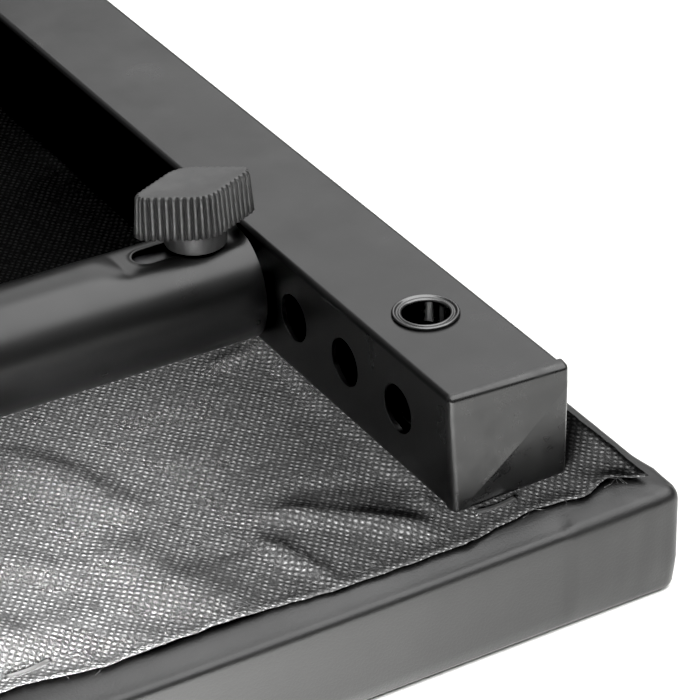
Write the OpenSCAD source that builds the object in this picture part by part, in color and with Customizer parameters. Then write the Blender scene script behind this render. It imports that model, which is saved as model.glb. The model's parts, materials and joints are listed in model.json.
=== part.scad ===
// Folding padded bench on crossed legs, lying upside down on its sitting face.
// X runs across the seat, Y along it and Z up. The origin is the middle of the sitting face.

/* [Seat] */
// Length of the seat pad along Y
pad_length = 512; // [510:1:540]
// Width of the seat pad along X
pad_width = 324; // [318:1:360]
// Height of the upholstered side of the pad
pad_height = 29.4; // [27:0.2:34]
// Corner radius of the pad in plan
pad_corner = 4; // [2:0.5:12]
// Thickness of the vinyl cover
vinyl_t = 0.8; // [0.6:0.1:1.2]
// Thickness of the plywood board
board_t = 10; // [9:0.5:12]
// Thickness of the non-woven dust cover
dust_t = 0.6; // [0.4:0.1:0.8]
// Bare vinyl in front of and behind the dust cover
dust_margin = 7; // [6:1:14]

/* [Rails] */
// Width of the square rail tube
rail_w = 31; // [29:0.5:32]
// Height of the rail tube
rail_h = 30.5; // [30.5:0.5:32]
// Wall thickness of all square tube
tube_wall = 1.5; // [1.2:0.1:2]
// Outer corner radius of all square tube
tube_corner = 1.5; // [1:0.5:3]
// Rail length over its end caps
rail_length = 480; // [470:1:490]
// Distance between the inner faces of the two rails
rail_gap = 220; // [216:1:224]
// Thickness of the end cap's face plate
cap_plate = 3.4; // [2.6:0.1:4]
// How far the diagonal ridge of the cap stands above its corners
cap_ridge = 1.6; // [0.4:0.1:2]
// How far the cap stands out past the rail at its sides and top
cap_proud = 0.5; // [0:0.1:0.8]

/* [Height holes] */
// Number of height holes in each rail
hole_count = 4; // [3:1:4]
// Distance from the rail's end to its first height hole
hole_first = 25.8; // [25:0.2:27]
// Distance between height holes
hole_pitch = 24.8; // [24.4:0.2:25.4]
// Diameter of a height hole
hole_d = 12.4; // [12.3:0.1:12.8]
// Height of the holes above the rail's underside
hole_height = 15.7; // [15.7:0.1:16]

/* [Cross tubes and legs] */
// Diameter of the two round cross tubes
cross_d = 30.8; // [30.4:0.1:30.8]
// Gap between the cross tube and each rail
cross_gap = 2; // [1:0.5:3]
// Width of the square leg and foot tubes
leg_w = 30; // [28:0.5:30]
// Gap between the two crossed legs
leg_gap = 2; // [1.5:0.5:3]
// Leg length between the cross tube's axis and the foot tube's axis
leg_length = 560; // [550:1:562]
// Distance between the two cross tubes at rest
spread = 350; // [346:1:352]
// Length of a foot tube without its rubber caps
foot_length = 290; // [270:1:296]
// Diameter of the pivot bolt where the legs cross
pivot_d = 10; // [8:1:10]

/* [Pin lock] */
// Diameter of the lock pin
pin_d = 12; // [11.6:0.1:12]
// How far the pin reaches past the rail's inner face
pin_reach = 6; // [4:0.5:8]
// Distance from the rail's inner face to the knob's stud
stud_inset = 13.2; // [12.8:0.2:13.6]
// Diameter of the knob's threaded stud
stud_d = 6; // [5:0.5:6]
// Travel of the pin when it is drawn back
lock_travel = 13; // [10:1:14]
// Width of the slot in the cross tube
slot_w = 7; // [6.8:0.2:7.6]
// Depth that the tube is pressed flat around the slot
flat_depth = 1.5; // [1.2:0.1:1.6]

/* [Wing knob] */
// Radius of the knob's middle
knob_hub_r = 9.5; // [8:0.5:10]
// Radius of each wing's tip
knob_tip_r = 3.5; // [2.5:0.5:4]
// Distance from the knob's middle to the middle of a tip
knob_tip_x = 12.5; // [11:0.5:13]
// Height of the fluted grip
knob_grip_h = 11.4; // [9:0.2:13]
// Diameter of the smooth boss below the grip
knob_boss_d = 16; // [14:0.5:16]
// Height of the boss
knob_boss_h = 5; // [4.5:0.5:7]
// Flutes in a quarter of the knob's outline
knob_flutes = 11; // [8:1:14]
// Depth of a flute
knob_flute_depth = 0.5; // [0.2:0.1:0.7]

/* [Hidden] */

$fn = 64;
eps = 0.01;
over = 1;              // how far a cutting tool runs past the face it cuts
powder = "#2b2b2e";
plastic = "#333336";
steel = "#b9bcc0";

// Heights
board_top = pad_height - vinyl_t;
board_bottom = board_top - board_t;
seat_top = pad_height + dust_t;
rail_z = seat_top + rail_h / 2;
axis_z = seat_top + hole_height;

// Rails
rail_x = rail_gap / 2 + rail_w / 2;
rail_inner = rail_gap / 2;
rail_end = rail_length / 2;
tube_end = rail_end - cap_plate;
bolt_y = rail_end - hole_first - hole_pitch / 2;
dust_side = 5;
wrap_w = 24;           // vinyl turned over the board's edge

// Crossed legs
cross_r = cross_d / 2;
near_y = -rail_end + hole_first + (hole_count - 1) * hole_pitch;
far_y = near_y + spread;
leg_angle = acos(spread / leg_length);
foot_z = axis_z + leg_length * sin(leg_angle);
pivot_y = (near_y + far_y) / 2;
pivot_z = (axis_z + foot_z) / 2;
leg_x = leg_gap / 2 + leg_w / 2;
near_half = rail_inner - cross_gap;
running = 0.05;        // radial clearance of a turning fit

// Pin lock
stud_x = rail_inner - stud_inset;
flat_z = axis_z + cross_r - flat_depth;
bore_r = cross_r - tube_wall;
slider_r = bore_r - 0.3;
slider_top = flat_z - tube_wall - 0.3;
slider_out = near_half - 2;
slider_l = 30;
slot_out = stud_x + slot_w / 2 + 0.6;
slot_in = stud_x - lock_travel - slot_w / 2 - 0.6;
flat_out = stud_x + knob_boss_d / 2 + 1;
flat_in = stud_x - lock_travel - knob_boss_d / 2 - 1;
stud_bottom = axis_z + pin_d / 2 + 0.5;
knob_bottom = flat_z + 0.1;
grip_bottom = knob_bottom + knob_boss_h;
stud_top = grip_bottom + knob_grip_h * 0.6;

// Far cross tube and its keepers
keeper_plate = 2.5;
keeper_t = 3;
keeper_gap = 0.3;
keeper_reach = 14;
plug_flange = 2;
far_half = rail_inner - keeper_plate - plug_flange - 0.8;
keeper_r = cross_r + keeper_gap;
rivet_y = [-14, 14];
rivet_r = 2.4;

// Rubber feet
foot_rubber = 3;
foot_cap_l = 34;

// ---------- shared shapes ----------

// Rounded rectangle in plan, centred
module rounded_rect(w, d, r) {
    square([w - 2 * r, d], center = true);
    square([w, d - 2 * r], center = true);
    for (x = [-1, 1], y = [-1, 1])
        translate([x * (w / 2 - r), y * (d / 2 - r)]) circle(r);
}

// Square tube of length l, centred on the origin along Z
module square_tube(w, h, l) {
    linear_extrude(l, center = true)
        difference() {
            rounded_rect(w, h, tube_corner);
            square([w - 2 * tube_wall, h - 2 * tube_wall], center = true);
        }
}

// Rod along X from x0 to x1 on the axis y, z
module rod_x(x0, x1, r, y, z) {
    translate([min(x0, x1), y, z]) rotate([0, 90, 0]) cylinder(h = abs(x1 - x0), r = r);
}

// Ring along X
module ring_x(x0, x1, r_out, r_in, y, z) {
    difference() {
        rod_x(x0, x1, r_out, y, z);
        rod_x(min(x0, x1) - over, max(x0, x1) + over, r_in, y, z);
    }
}

// ---------- seat ----------

module vinyl_cover() {
    color("#3a3a3c")
    difference() {
        linear_extrude(pad_height) rounded_rect(pad_width, pad_length, pad_corner);
        translate([0, 0, vinyl_t])
            linear_extrude(board_top - vinyl_t)
                rounded_rect(pad_width - 2 * vinyl_t, pad_length - 2 * vinyl_t, pad_corner - vinyl_t);
        translate([0, 0, board_top - eps])
            linear_extrude(vinyl_t + over)
                rounded_rect(pad_width - 2 * wrap_w, pad_length - 2 * wrap_w, pad_corner);
    }
}

module foam_pad() {
    color("#d8cfa8")
    translate([0, 0, vinyl_t])
        linear_extrude(board_bottom - vinyl_t)
            rounded_rect(pad_width - 2 * vinyl_t, pad_length - 2 * vinyl_t, pad_corner - vinyl_t);
}

tee_flange_r = 9;
tee_flange_t = 1.4;
tee_barrel_r = 4;
bolt_r = 3;

// The four places where a rail is bolted down
module at_rail_bolts() {
    for (x = [-rail_x, rail_x], y = [-bolt_y, bolt_y]) translate([x, y, 0]) children();
}

module seat_board() {
    color("#a98a5c")
    difference() {
        translate([0, 0, board_bottom])
            linear_extrude(board_t)
                rounded_rect(pad_width - 2 * vinyl_t, pad_length - 2 * vinyl_t, pad_corner - vinyl_t);
        at_rail_bolts() {
            translate([0, 0, board_bottom - over]) cylinder(h = board_t + 2 * over, r = tee_barrel_r);
            translate([0, 0, board_bottom - over]) cylinder(h = tee_flange_t + over, r = tee_flange_r);
        }
    }
}

module tee_nuts() {
    color(steel)
    at_rail_bolts() difference() {
        union() {
            translate([0, 0, board_bottom]) cylinder(h = tee_flange_t, r = tee_flange_r);
            translate([0, 0, board_bottom]) cylinder(h = board_t - 0.5, r = tee_barrel_r);
        }
        translate([0, 0, board_bottom - over]) cylinder(h = board_t + 2 * over, r = bolt_r);
    }
}

module dust_cover() {
    color("#161617")
    difference() {
        translate([0, 0, pad_height])
            linear_extrude(dust_t)
                rounded_rect(pad_width - 2 * dust_side, pad_length - 2 * dust_margin, 2);
        at_rail_bolts() translate([0, 0, pad_height - over]) cylinder(h = dust_t + 2 * over, r = bolt_r + 0.2);
    }
}

staple_l = 11;
staple_w = 1.2;
staple_t = 0.5;
staple_end_inset = 7.8;
staple_side_inset = 5;

// Crowns of the staples that hold the dust cover, standing on its edge
module dust_cover_staples() {
    color("#4a4a4c")
    translate([0, 0, seat_top]) {
        for (x = [-120:120:120], s = [-1, 1])
            translate([x - staple_l / 2, s * (pad_length / 2 - dust_margin - staple_end_inset) - staple_w / 2, 0])
                cube([staple_l, staple_w, staple_t]);
        for (y = [-200:50:200], s = [-1, 1])
            translate([s * (pad_width / 2 - dust_side - staple_side_inset) - staple_w / 2, y - staple_l / 2, 0])
                cube([staple_w, staple_l, staple_t]);
    }
}

// ---------- rails ----------

eyelet_hole_r = 6.8;
eyelet_bore_r = 5.65;
eyelet_lip_r = 8.25;
eyelet_depth = 5.4;

// side is 1 on the right and -1 on the left
module rail(side) {
    color(powder)
    difference() {
        translate([side * rail_x, 0, rail_z]) rotate([90, 0, 0]) square_tube(rail_w, rail_h, 2 * tube_end);
        for (i = [0:hole_count - 1])
            rod_x(side * (rail_inner - over), side * (rail_inner + tube_wall + over), hole_d / 2,
                  -rail_end + hole_first + i * hole_pitch, axis_z);
        for (y = [-bolt_y, bolt_y]) {
            translate([side * rail_x, y, seat_top + rail_h - tube_wall - over])
                cylinder(h = tube_wall + 2 * over, r = eyelet_hole_r);
            translate([side * rail_x, y, seat_top - over])
                cylinder(h = tube_wall + 2 * over, r = bolt_r + 0.2);
        }
        for (y = rivet_y)
            rod_x(side * (rail_inner - over), side * (rail_inner + tube_wall + over), rivet_r, far_y + y, seat_top + 7);
    }
}

// Moulded plug: a hollow insert and a face plate folded along one diagonal.
// end is -1 for the near end and 1 for the far end.
module rail_cap(side, end) {
    insert_l = 14;
    insert_wall = 2;
    insert_w = rail_w - 2 * tube_wall - 0.2;
    insert_h = rail_h - 2 * tube_wall - 0.2;
    cap_corner = 1;
    plate_w = rail_w + 2 * cap_proud;
    tilt = atan(cap_ridge / (plate_w / sqrt(2)));
    color(plastic)
    translate([side * rail_x, end * tube_end, rail_z])
    rotate([90, 0, end > 0 ? 180 : 0]) {
        intersection() {
            linear_extrude(cap_plate)
                translate([0, cap_proud / 2]) rounded_rect(plate_w, rail_h + cap_proud, cap_corner);
            under_both_facets(tilt);
        }
        translate([0, 0, -insert_l])
            linear_extrude(insert_l)
                difference() {
                    square([insert_w, insert_h], center = true);
                    square([insert_w - 2 * insert_wall, insert_h - 2 * insert_wall], center = true);
                }
    }
}

// Everything below the two planes that meet in the cap's diagonal ridge
module under_both_facets(tilt) {
    big = 3 * rail_w;
    intersection() {
        under_facet(135, tilt, big);
        under_facet(-45, tilt, big);
    }
}

module under_facet(turn, tilt, big) {
    translate([0, 0, cap_plate])
        rotate([0, 0, turn])
            rotate([0, tilt, 0])
                translate([-big / 2, -big / 2, -big]) cube([big, big, big]);
}

// Eyelet with a rolled lip, lining the hole over each bolt
module rail_eyelets() {
    lip_top = 1.3;
    barrel_r = eyelet_hole_r - 0.05;
    color(steel)
    at_rail_bolts()
    translate([0, 0, seat_top + rail_h])
        rotate_extrude() {
            intersection() {
                translate([(eyelet_lip_r + eyelet_bore_r) / 2, 0]) circle(r = (eyelet_lip_r - eyelet_bore_r) / 2);
                translate([eyelet_bore_r, 0]) square([eyelet_lip_r - eyelet_bore_r, lip_top]);
            }
            translate([eyelet_bore_r, -eyelet_depth]) square([barrel_r - eyelet_bore_r, eyelet_depth + eps]);
        }
}

washer_t = 1.2;
bolt_head_r = 5;
bolt_head_h = 6;

module rail_washers() {
    color(steel)
    at_rail_bolts() translate([0, 0, seat_top + tube_wall]) difference() {
        cylinder(h = washer_t, r = 6.2);
        translate([0, 0, -over]) cylinder(h = washer_t + 2 * over, r = bolt_r + 0.2);
    }
}

module rail_bolts() {
    head_z = seat_top + tube_wall + washer_t;
    color("#6f7276")
    at_rail_bolts() difference() {
        union() {
            translate([0, 0, board_bottom + 0.5]) cylinder(h = head_z - board_bottom, r = bolt_r);
            translate([0, 0, head_z]) cylinder(h = bolt_head_h, r = bolt_head_r);
        }
        translate([0, 0, head_z + bolt_head_h - 3]) cylinder(h = 3 + over, r = 2.9, $fn = 6);
    }
}

// Bracket on the rail that catches the far cross tube and is open towards the near end
module keeper(side) {
    lip = 10;
    x_in = rail_inner - keeper_plate - keeper_reach;
    x_plate = rail_inner - keeper_plate;
    color(powder)
    mirror([side > 0 ? 0 : 1, 0, 0]) {
        difference() {
            translate([x_plate, far_y - 22, seat_top + 1]) cube([keeper_plate, 47, rail_h - 3]);
            for (y = rivet_y)
                rod_x(x_plate - over, rail_inner + over, rivet_r, far_y + y, seat_top + 7);
        }
        intersection() {
            ring_x(x_in, x_plate, keeper_r + keeper_t, keeper_r, far_y, axis_z);
            translate([x_in, far_y, seat_top + 1])
                cube([keeper_reach, 2 * cross_r, 2 * cross_d]);
        }
        translate([x_in, far_y - lip, axis_z + keeper_r]) cube([keeper_reach, lip, keeper_t]);
    }
}

module keeper_rivets() {
    color(steel)
    for (side = [-1, 1], y = rivet_y)
        rod_x(side * (rail_inner - keeper_plate), side * (rail_inner + tube_wall), rivet_r, far_y + y, seat_top + 7);
}

// ---------- near legs: the pinned pair ----------

// Slot with round ends, cut down through the top of the tube
module slot_cut(x0, x1) {
    translate([0, near_y, flat_z - 3 * tube_wall])
        linear_extrude(4 * tube_wall) {
            translate([x0 + slot_w / 2, -slot_w / 2]) square([x1 - x0 - slot_w, slot_w]);
            for (x = [x0 + slot_w / 2, x1 - slot_w / 2]) translate([x, 0]) circle(slot_w / 2);
        }
}

module near_cross_tube() {
    flat_l = flat_out - flat_in;
    color(powder)
    difference() {
        union() {
            ring_x(-near_half, near_half, cross_r, bore_r, near_y, axis_z);
            for (side = [-1, 1])
                intersection() {
                    rod_x(side * flat_in, side * flat_out, cross_r - eps, near_y, axis_z);
                    translate([-near_half, near_y - cross_r, flat_z - tube_wall])
                        cube([2 * near_half, cross_d, 2 * tube_wall]);
                }
        }
        for (side = [-1, 1])
            translate([side > 0 ? flat_in : -flat_out, near_y - cross_r, flat_z])
                cube([flat_l, cross_d, cross_r]);
        slot_cut(slot_in, slot_out);
        slot_cut(-slot_out, -slot_in);
    }
}

// Leg from its cross tube up to its foot tube. lean is 1 for the near leg and -1 for the far one.
module leg(x, base_y, lean, pivot_hole_r) {
    foot_y = base_y + lean * spread;
    color(powder)
    difference() {
        translate([x, base_y, axis_z])
            rotate([-lean * (90 - leg_angle), 0, 0])
                translate([0, 0, leg_length / 2]) square_tube(leg_w, leg_w, leg_length);
        rod_x(x - leg_w, x + leg_w, cross_r, base_y, axis_z);
        translate([x - leg_w, foot_y - leg_w / 2, foot_z - leg_w / 2]) cube([2 * leg_w, leg_w, leg_w]);
        rod_x(x - leg_w, x + leg_w, pivot_hole_r, pivot_y, pivot_z);
    }
}

module foot_tube(y) {
    color(powder)
    translate([0, y, foot_z]) rotate([0, 90, 0]) square_tube(leg_w, leg_w, foot_length);
}

// Slip-on rubber end of a foot tube
module foot_cap(side, y) {
    outer = leg_w + 2 * foot_rubber;
    color("#1b1b1c")
    translate([side * (foot_length / 2 + foot_rubber - foot_cap_l / 2), y, foot_z])
        rotate([0, side * 90, 0])
            difference() {
                linear_extrude(foot_cap_l, center = true) rounded_rect(outer, outer, 4);
                translate([0, 0, -foot_cap_l / 2 - over])
                    linear_extrude(foot_cap_l - foot_rubber + over) rounded_rect(leg_w, leg_w, tube_corner);
            }
}

pivot_r = pivot_d / 2;
sleeve_r = pivot_r + 3;
pivot_head_t = 6.4;
pivot_nut_t = 9;
pivot_washer_t = 1.6;
leg_side = leg_gap / 2 + leg_w;

module pivot_bolt() {
    end_x = leg_side + pivot_washer_t + pivot_nut_t + 2;
    color(steel) {
        rod_x(-leg_side - pivot_washer_t, end_x, pivot_r, pivot_y, pivot_z);
        translate([-leg_side - pivot_washer_t - pivot_head_t, pivot_y, pivot_z])
            rotate([0, 90, 0]) cylinder(h = pivot_head_t, r = pivot_d * 0.92, $fn = 6);
    }
}

module pivot_nut() {
    color(steel)
    difference() {
        translate([leg_side + pivot_washer_t, pivot_y, pivot_z])
            rotate([0, 90, 0]) cylinder(h = pivot_nut_t, r = pivot_d * 0.92, $fn = 6);
        rod_x(leg_side, leg_side + 2 * pivot_nut_t, pivot_r, pivot_y, pivot_z);
    }
}

module pivot_washers() {
    color(steel) {
        ring_x(-leg_side - pivot_washer_t, -leg_side, pivot_d, pivot_r, pivot_y, pivot_z);
        ring_x(leg_side, leg_side + pivot_washer_t, pivot_d, pivot_r, pivot_y, pivot_z);
    }
}

module pivot_spacer() {
    color("#e8e6df") ring_x(-leg_gap / 2, leg_gap / 2, 1.2 * pivot_d, pivot_r, pivot_y, pivot_z);
}

// Sleeve welded into the near leg, so the bolt can't crush the tube
module pivot_sleeve() {
    color(powder)
    ring_x(-leg_side, -leg_gap / 2, sleeve_r, pivot_r, pivot_y, pivot_z);
}

module pivot_bush() {
    color("#e8e6df") ring_x(leg_gap / 2, leg_side, sleeve_r, pivot_r + running, pivot_y, pivot_z);
}

// ---------- pin lock ----------

module lock_slider(side) {
    color("#3c3d40")
    mirror([side > 0 ? 0 : 1, 0, 0])
    difference() {
        intersection() {
            rod_x(slider_out - slider_l, slider_out, slider_r, near_y, axis_z);
            translate([0, near_y - cross_r, axis_z - cross_r])
                cube([rail_inner, cross_d, slider_top - axis_z + cross_r]);
        }
        rod_x(slider_out - 20, slider_out + over, pin_d / 2, near_y, axis_z);
        translate([stud_x, near_y, stud_bottom]) cylinder(h = cross_d, r = stud_d / 2 + running);
    }
}

module lock_pin(side) {
    nose = 1.5;
    tip = rail_inner + pin_reach;
    color(steel)
    mirror([side > 0 ? 0 : 1, 0, 0])
    translate([0, near_y, axis_z]) rotate([0, 90, 0]) {
        translate([0, 0, slider_out - 20]) cylinder(h = tip - nose - slider_out + 20, r = pin_d / 2);
        translate([0, 0, tip - nose]) cylinder(h = nose, r1 = pin_d / 2, r2 = pin_d / 2 - nose);
    }
}

// Outline of the wing knob: two tip arcs joined to the hub by tangent lines, cut by flutes.
// s runs from 0 at a tip to 1 at the hub's side, over a quarter of the outline.
knob_psi = acos((knob_hub_r - knob_tip_r) / knob_tip_x);
knob_arc_tip = knob_tip_r * knob_psi * PI / 180;
knob_line = knob_tip_x * sin(knob_psi);
knob_arc_hub = knob_hub_r * (90 - knob_psi) * PI / 180;
knob_quarter = knob_arc_tip + knob_line + knob_arc_hub;

// Point at a distance d along the quarter outline, moved inwards by sink
function knob_point(d, sink) =
    d < knob_arc_tip
        ? let (a = d / knob_tip_r * 180 / PI)
          [knob_tip_x + (knob_tip_r - sink) * cos(a), (knob_tip_r - sink) * sin(a)]
    : d < knob_arc_tip + knob_line
        ? let (t = d - knob_arc_tip)
          [knob_tip_x + (knob_tip_r - sink) * cos(knob_psi) - t * sin(knob_psi),
           (knob_tip_r - sink) * sin(knob_psi) + t * cos(knob_psi)]
    : let (a = knob_psi + (d - knob_arc_tip - knob_line) / knob_hub_r * 180 / PI)
      [(knob_hub_r - sink) * cos(a), (knob_hub_r - sink) * sin(a)];

knob_steps = 4 * knob_flutes;
function knob_sink(i) = knob_flute_depth * (0.5 - 0.5 * cos(i * 90));
function quarter_points(flip_x, flip_y) =
    [for (i = [0:knob_steps - 1])
        let (p = knob_point(i / knob_steps * knob_quarter, knob_sink(i)))
        flip_x * flip_y > 0 ? [flip_x * p[0], flip_y * p[1]]
                            : [flip_x * knob_point(knob_quarter - i / knob_steps * knob_quarter, knob_sink(i))[0],
                               flip_y * knob_point(knob_quarter - i / knob_steps * knob_quarter, knob_sink(i))[1]]];

module knob_outline() {
    polygon(concat(quarter_points(1, 1), quarter_points(-1, 1), quarter_points(-1, -1), quarter_points(1, -1)));
}

module knob(side) {
    color(plastic)
    translate([side * stud_x, near_y, 0])
    difference() {
        union() {
            translate([0, 0, knob_bottom]) cylinder(h = knob_boss_h, r = knob_boss_d / 2);
            translate([0, 0, grip_bottom]) linear_extrude(knob_grip_h) knob_outline();
        }
        translate([0, 0, knob_bottom - over]) cylinder(h = stud_top - knob_bottom + over, r = stud_d / 2);
    }
}

module knob_stud(side) {
    color(steel)
    translate([side * stud_x, near_y, stud_bottom + 0.3])
        cylinder(h = stud_top - stud_bottom - 0.3, r = stud_d / 2);
}

// ---------- far legs: the sliding pair ----------

module far_cross_tube() {
    color(powder) ring_x(-far_half, far_half, cross_r, bore_r, far_y, axis_z);
}

module far_tube_plug(side) {
    insert_l = 12;
    color(plastic)
    mirror([side > 0 ? 0 : 1, 0, 0]) {
        rod_x(far_half, far_half + plug_flange, cross_r, far_y, axis_z);
        ring_x(far_half - insert_l, far_half + eps, bore_r - 0.1, bore_r - 2.2, far_y, axis_z);
    }
}

vinyl_cover();
foam_pad();
seat_board();
dust_cover();
dust_cover_staples();
tee_nuts();
rail(1);  // rail_right
rail(-1);  // rail_left
rail_cap(1, -1);  // rail_cap_right_near
rail_cap(1, 1);  // rail_cap_right_far
rail_cap(-1, -1);  // rail_cap_left_near
rail_cap(-1, 1);  // rail_cap_left_far
rail_eyelets();
rail_bolts();
rail_washers();
keeper(1);  // keeper_right
keeper(-1);  // keeper_left
keeper_rivets();
near_cross_tube();
leg(-leg_x, near_y, 1, sleeve_r);  // near_leg
foot_tube(far_y);  // near_foot_tube
foot_cap(1, far_y);  // near_foot_cap_right
foot_cap(-1, far_y);  // near_foot_cap_left
pivot_bolt();
pivot_nut();
pivot_washers();
pivot_spacer();
pivot_sleeve();
lock_slider(1);  // lock_slider_right
lock_slider(-1);  // lock_slider_left
lock_pin(1);  // lock_pin_right
lock_pin(-1);  // lock_pin_left
knob(1);  // knob_right
knob(-1);  // knob_left
knob_stud(1);  // knob_stud_right
knob_stud(-1);  // knob_stud_left
far_cross_tube();
far_tube_plug(1);  // far_tube_plug_right
far_tube_plug(-1);  // far_tube_plug_left
leg(leg_x, far_y, -1, sleeve_r);  // far_leg
pivot_bush();
foot_tube(near_y);  // far_foot_tube
foot_cap(1, near_y);  // far_foot_cap_right
foot_cap(-1, near_y);  // far_foot_cap_left
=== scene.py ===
"""Looks of a folding padded bench on crossed legs, upside down on its seat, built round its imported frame."""

import json
import math
import random

import bmesh
import bpy
import numpy as np
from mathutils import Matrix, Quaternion, Vector, noise

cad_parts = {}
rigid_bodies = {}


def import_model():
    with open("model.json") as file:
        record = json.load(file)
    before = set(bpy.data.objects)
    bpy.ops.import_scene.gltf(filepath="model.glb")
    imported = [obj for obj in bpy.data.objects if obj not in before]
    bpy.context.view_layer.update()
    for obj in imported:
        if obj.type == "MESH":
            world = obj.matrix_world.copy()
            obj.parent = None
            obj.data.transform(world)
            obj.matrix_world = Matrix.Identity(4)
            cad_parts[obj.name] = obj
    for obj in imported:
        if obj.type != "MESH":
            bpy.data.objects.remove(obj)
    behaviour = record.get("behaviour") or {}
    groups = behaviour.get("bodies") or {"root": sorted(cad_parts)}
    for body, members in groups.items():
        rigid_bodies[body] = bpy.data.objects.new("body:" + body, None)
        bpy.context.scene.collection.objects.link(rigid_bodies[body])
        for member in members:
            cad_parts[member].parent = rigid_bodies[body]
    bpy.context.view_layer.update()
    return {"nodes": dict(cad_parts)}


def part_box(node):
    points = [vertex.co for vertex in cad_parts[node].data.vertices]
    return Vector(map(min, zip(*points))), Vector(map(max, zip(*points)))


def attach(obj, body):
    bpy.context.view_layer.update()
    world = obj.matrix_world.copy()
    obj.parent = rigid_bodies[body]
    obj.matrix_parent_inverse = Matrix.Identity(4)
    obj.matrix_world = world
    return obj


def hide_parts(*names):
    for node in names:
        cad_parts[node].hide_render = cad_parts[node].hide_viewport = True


bl_info = {
    "name": "Folding Bench Looks",
    "version": (1, 0, 0),
    "blender": (4, 5, 0),
    "location": "View3D > Sidebar > Bench",
    "description": "Builds the upholstery, fittings and finishes of a folding bench",
    "category": "Object",
}

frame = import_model()

MM = 0.001
SEED = 7
RIGHT_LEFT = (1, -1)
# Places of a Mix node's sockets, whose names repeat
MIX_A, MIX_B, MIX_RESULT = 6, 7, 2
MIX_NUMBER_A, MIX_NUMBER_B = 2, 3

# Heights and lines that several pieces share, read from the frame
PAD_LOW, PAD_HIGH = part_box("vinyl_cover")
CLOTH_LOW, CLOTH_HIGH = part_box("dust_cover")
RAIL_LOW, RAIL_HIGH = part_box("rail_right")
CAP_LOW, CAP_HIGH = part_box("rail_cap_right_near")
TUBE_LOW, TUBE_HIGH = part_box("near_cross_tube")
FAR_TUBE_LOW, FAR_TUBE_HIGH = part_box("far_cross_tube")
RAIL_X = (RAIL_LOW.x + RAIL_HIGH.x) / 2
TUBE_Y = (TUBE_LOW.y + TUBE_HIGH.y) / 2
TUBE_Z = (FAR_TUBE_LOW.z + FAR_TUBE_HIGH.z) / 2
TUBE_R = (FAR_TUBE_HIGH.z - FAR_TUBE_LOW.z) / 2
FAR_TUBE_Y = (FAR_TUBE_LOW.y + FAR_TUBE_HIGH.y) / 2


# ---------- sizes and colours that a user may change ----------

def linear(hex_colour):
    """Linear red, green and blue of an sRGB hex colour."""
    parts = [int(hex_colour[i:i + 2], 16) / 255 for i in (1, 3, 5)]
    return tuple(c / 12.92 if c <= 0.04045 else ((c + 0.055) / 1.055) ** 2.4 for c in parts)


def length(name, description, default_mm):
    """A length property whose default is given in millimetres."""
    return bpy.props.FloatProperty(
        name=name, description=description, default=default_mm * MM, min=0.0, precision=5, unit="LENGTH")


def colour(name, description, hex_colour):
    """A colour property whose default is given as an sRGB hex value."""
    return bpy.props.FloatVectorProperty(
        name=name, description=description, default=linear(hex_colour), min=0.0, max=1.0, subtype="COLOR")


def brightness(name, description, default):
    """A property for how bright a light or the room is."""
    return bpy.props.FloatProperty(name=name, description=description, default=default, min=0.0)


class BenchSizes(bpy.types.PropertyGroup):
    """Sizes of the details that the frame leaves open."""

    vinyl_rim: length("Vinyl rim", "Radius where the vinyl turns over the board's edge", 2.2)
    vinyl_fall: length("Vinyl fall", "How far the vinyl falls away from the dust cover to the rim", 1.7)
    vinyl_crown: length("Vinyl crown", "How far the foam pushes the long ends of the seat out", 2.9)
    vinyl_foot: length("Seat edge", "Radius of the seat's lower edge", 3.0)
    vinyl_pleat: length("Pleat", "How far the doubled vinyl stands out at the seat's corners", 0.8)
    cloth_step: length("Cloth mesh", "Distance between the dust cover's mesh points", 2.0)
    cloth_dot_across: length("Cloth dots across", "Distance between bonded dots along a row", 1.96)
    cloth_dot_along: length("Cloth dots along", "Distance between every second row of dots", 2.54)
    cap_rim: length("Cap rim", "Width of the end cap's rounded rim", 1.5)
    knob_flute: length("Knob flutes", "Depth of the knob's flutes", 0.9)
    knob_draft: length("Knob draft", "How much wider the knob's grip is at its foot", 0.7)
    tube_edge: length("Tube edges", "Width of the softened edges of cut steel", 0.3)
    weld_bead: length("Weld bead", "Radius of the weld beads on the legs", 1.8)


class BenchColours(bpy.types.PropertyGroup):
    """Colours of the finishes."""

    powder: colour("Powder coat", "Frame, legs and brackets", "#0c0c0c")
    vinyl: colour("Vinyl", "Seat cover", "#121212")
    # The dust cover's two colours are mixed by its bump's height. The dark one in the low gaps is partly
    # painted shade, and the pale one on the raised dots is partly painted highlight
    cloth: colour("Cloth", "Dust cover between its bonded dots", "#0b0b0b")
    cloth_dot: colour("Cloth dots", "Bonded dots of the dust cover", "#3c3c3c")
    knob: colour("Knob", "Wing knobs", "#313131")
    cap: colour("Caps", "End caps and tube plugs", "#121212")
    slider: colour("Slider", "Lock sliders inside the cross tube", "#3a3a3c")
    rubber: colour("Rubber", "Foot caps", "#121212")
    nylon: colour("Nylon", "Bush and spacer at the leg pivot", "#d8d4c8")
    foam: colour("Foam", "Seat foam", "#cfc08e")
    plywood: colour("Plywood", "Seat board", "#b08d5b")
    glue: colour("Glue lines", "Dark plies and glue of the seat board", "#6d4c2b")


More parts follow.
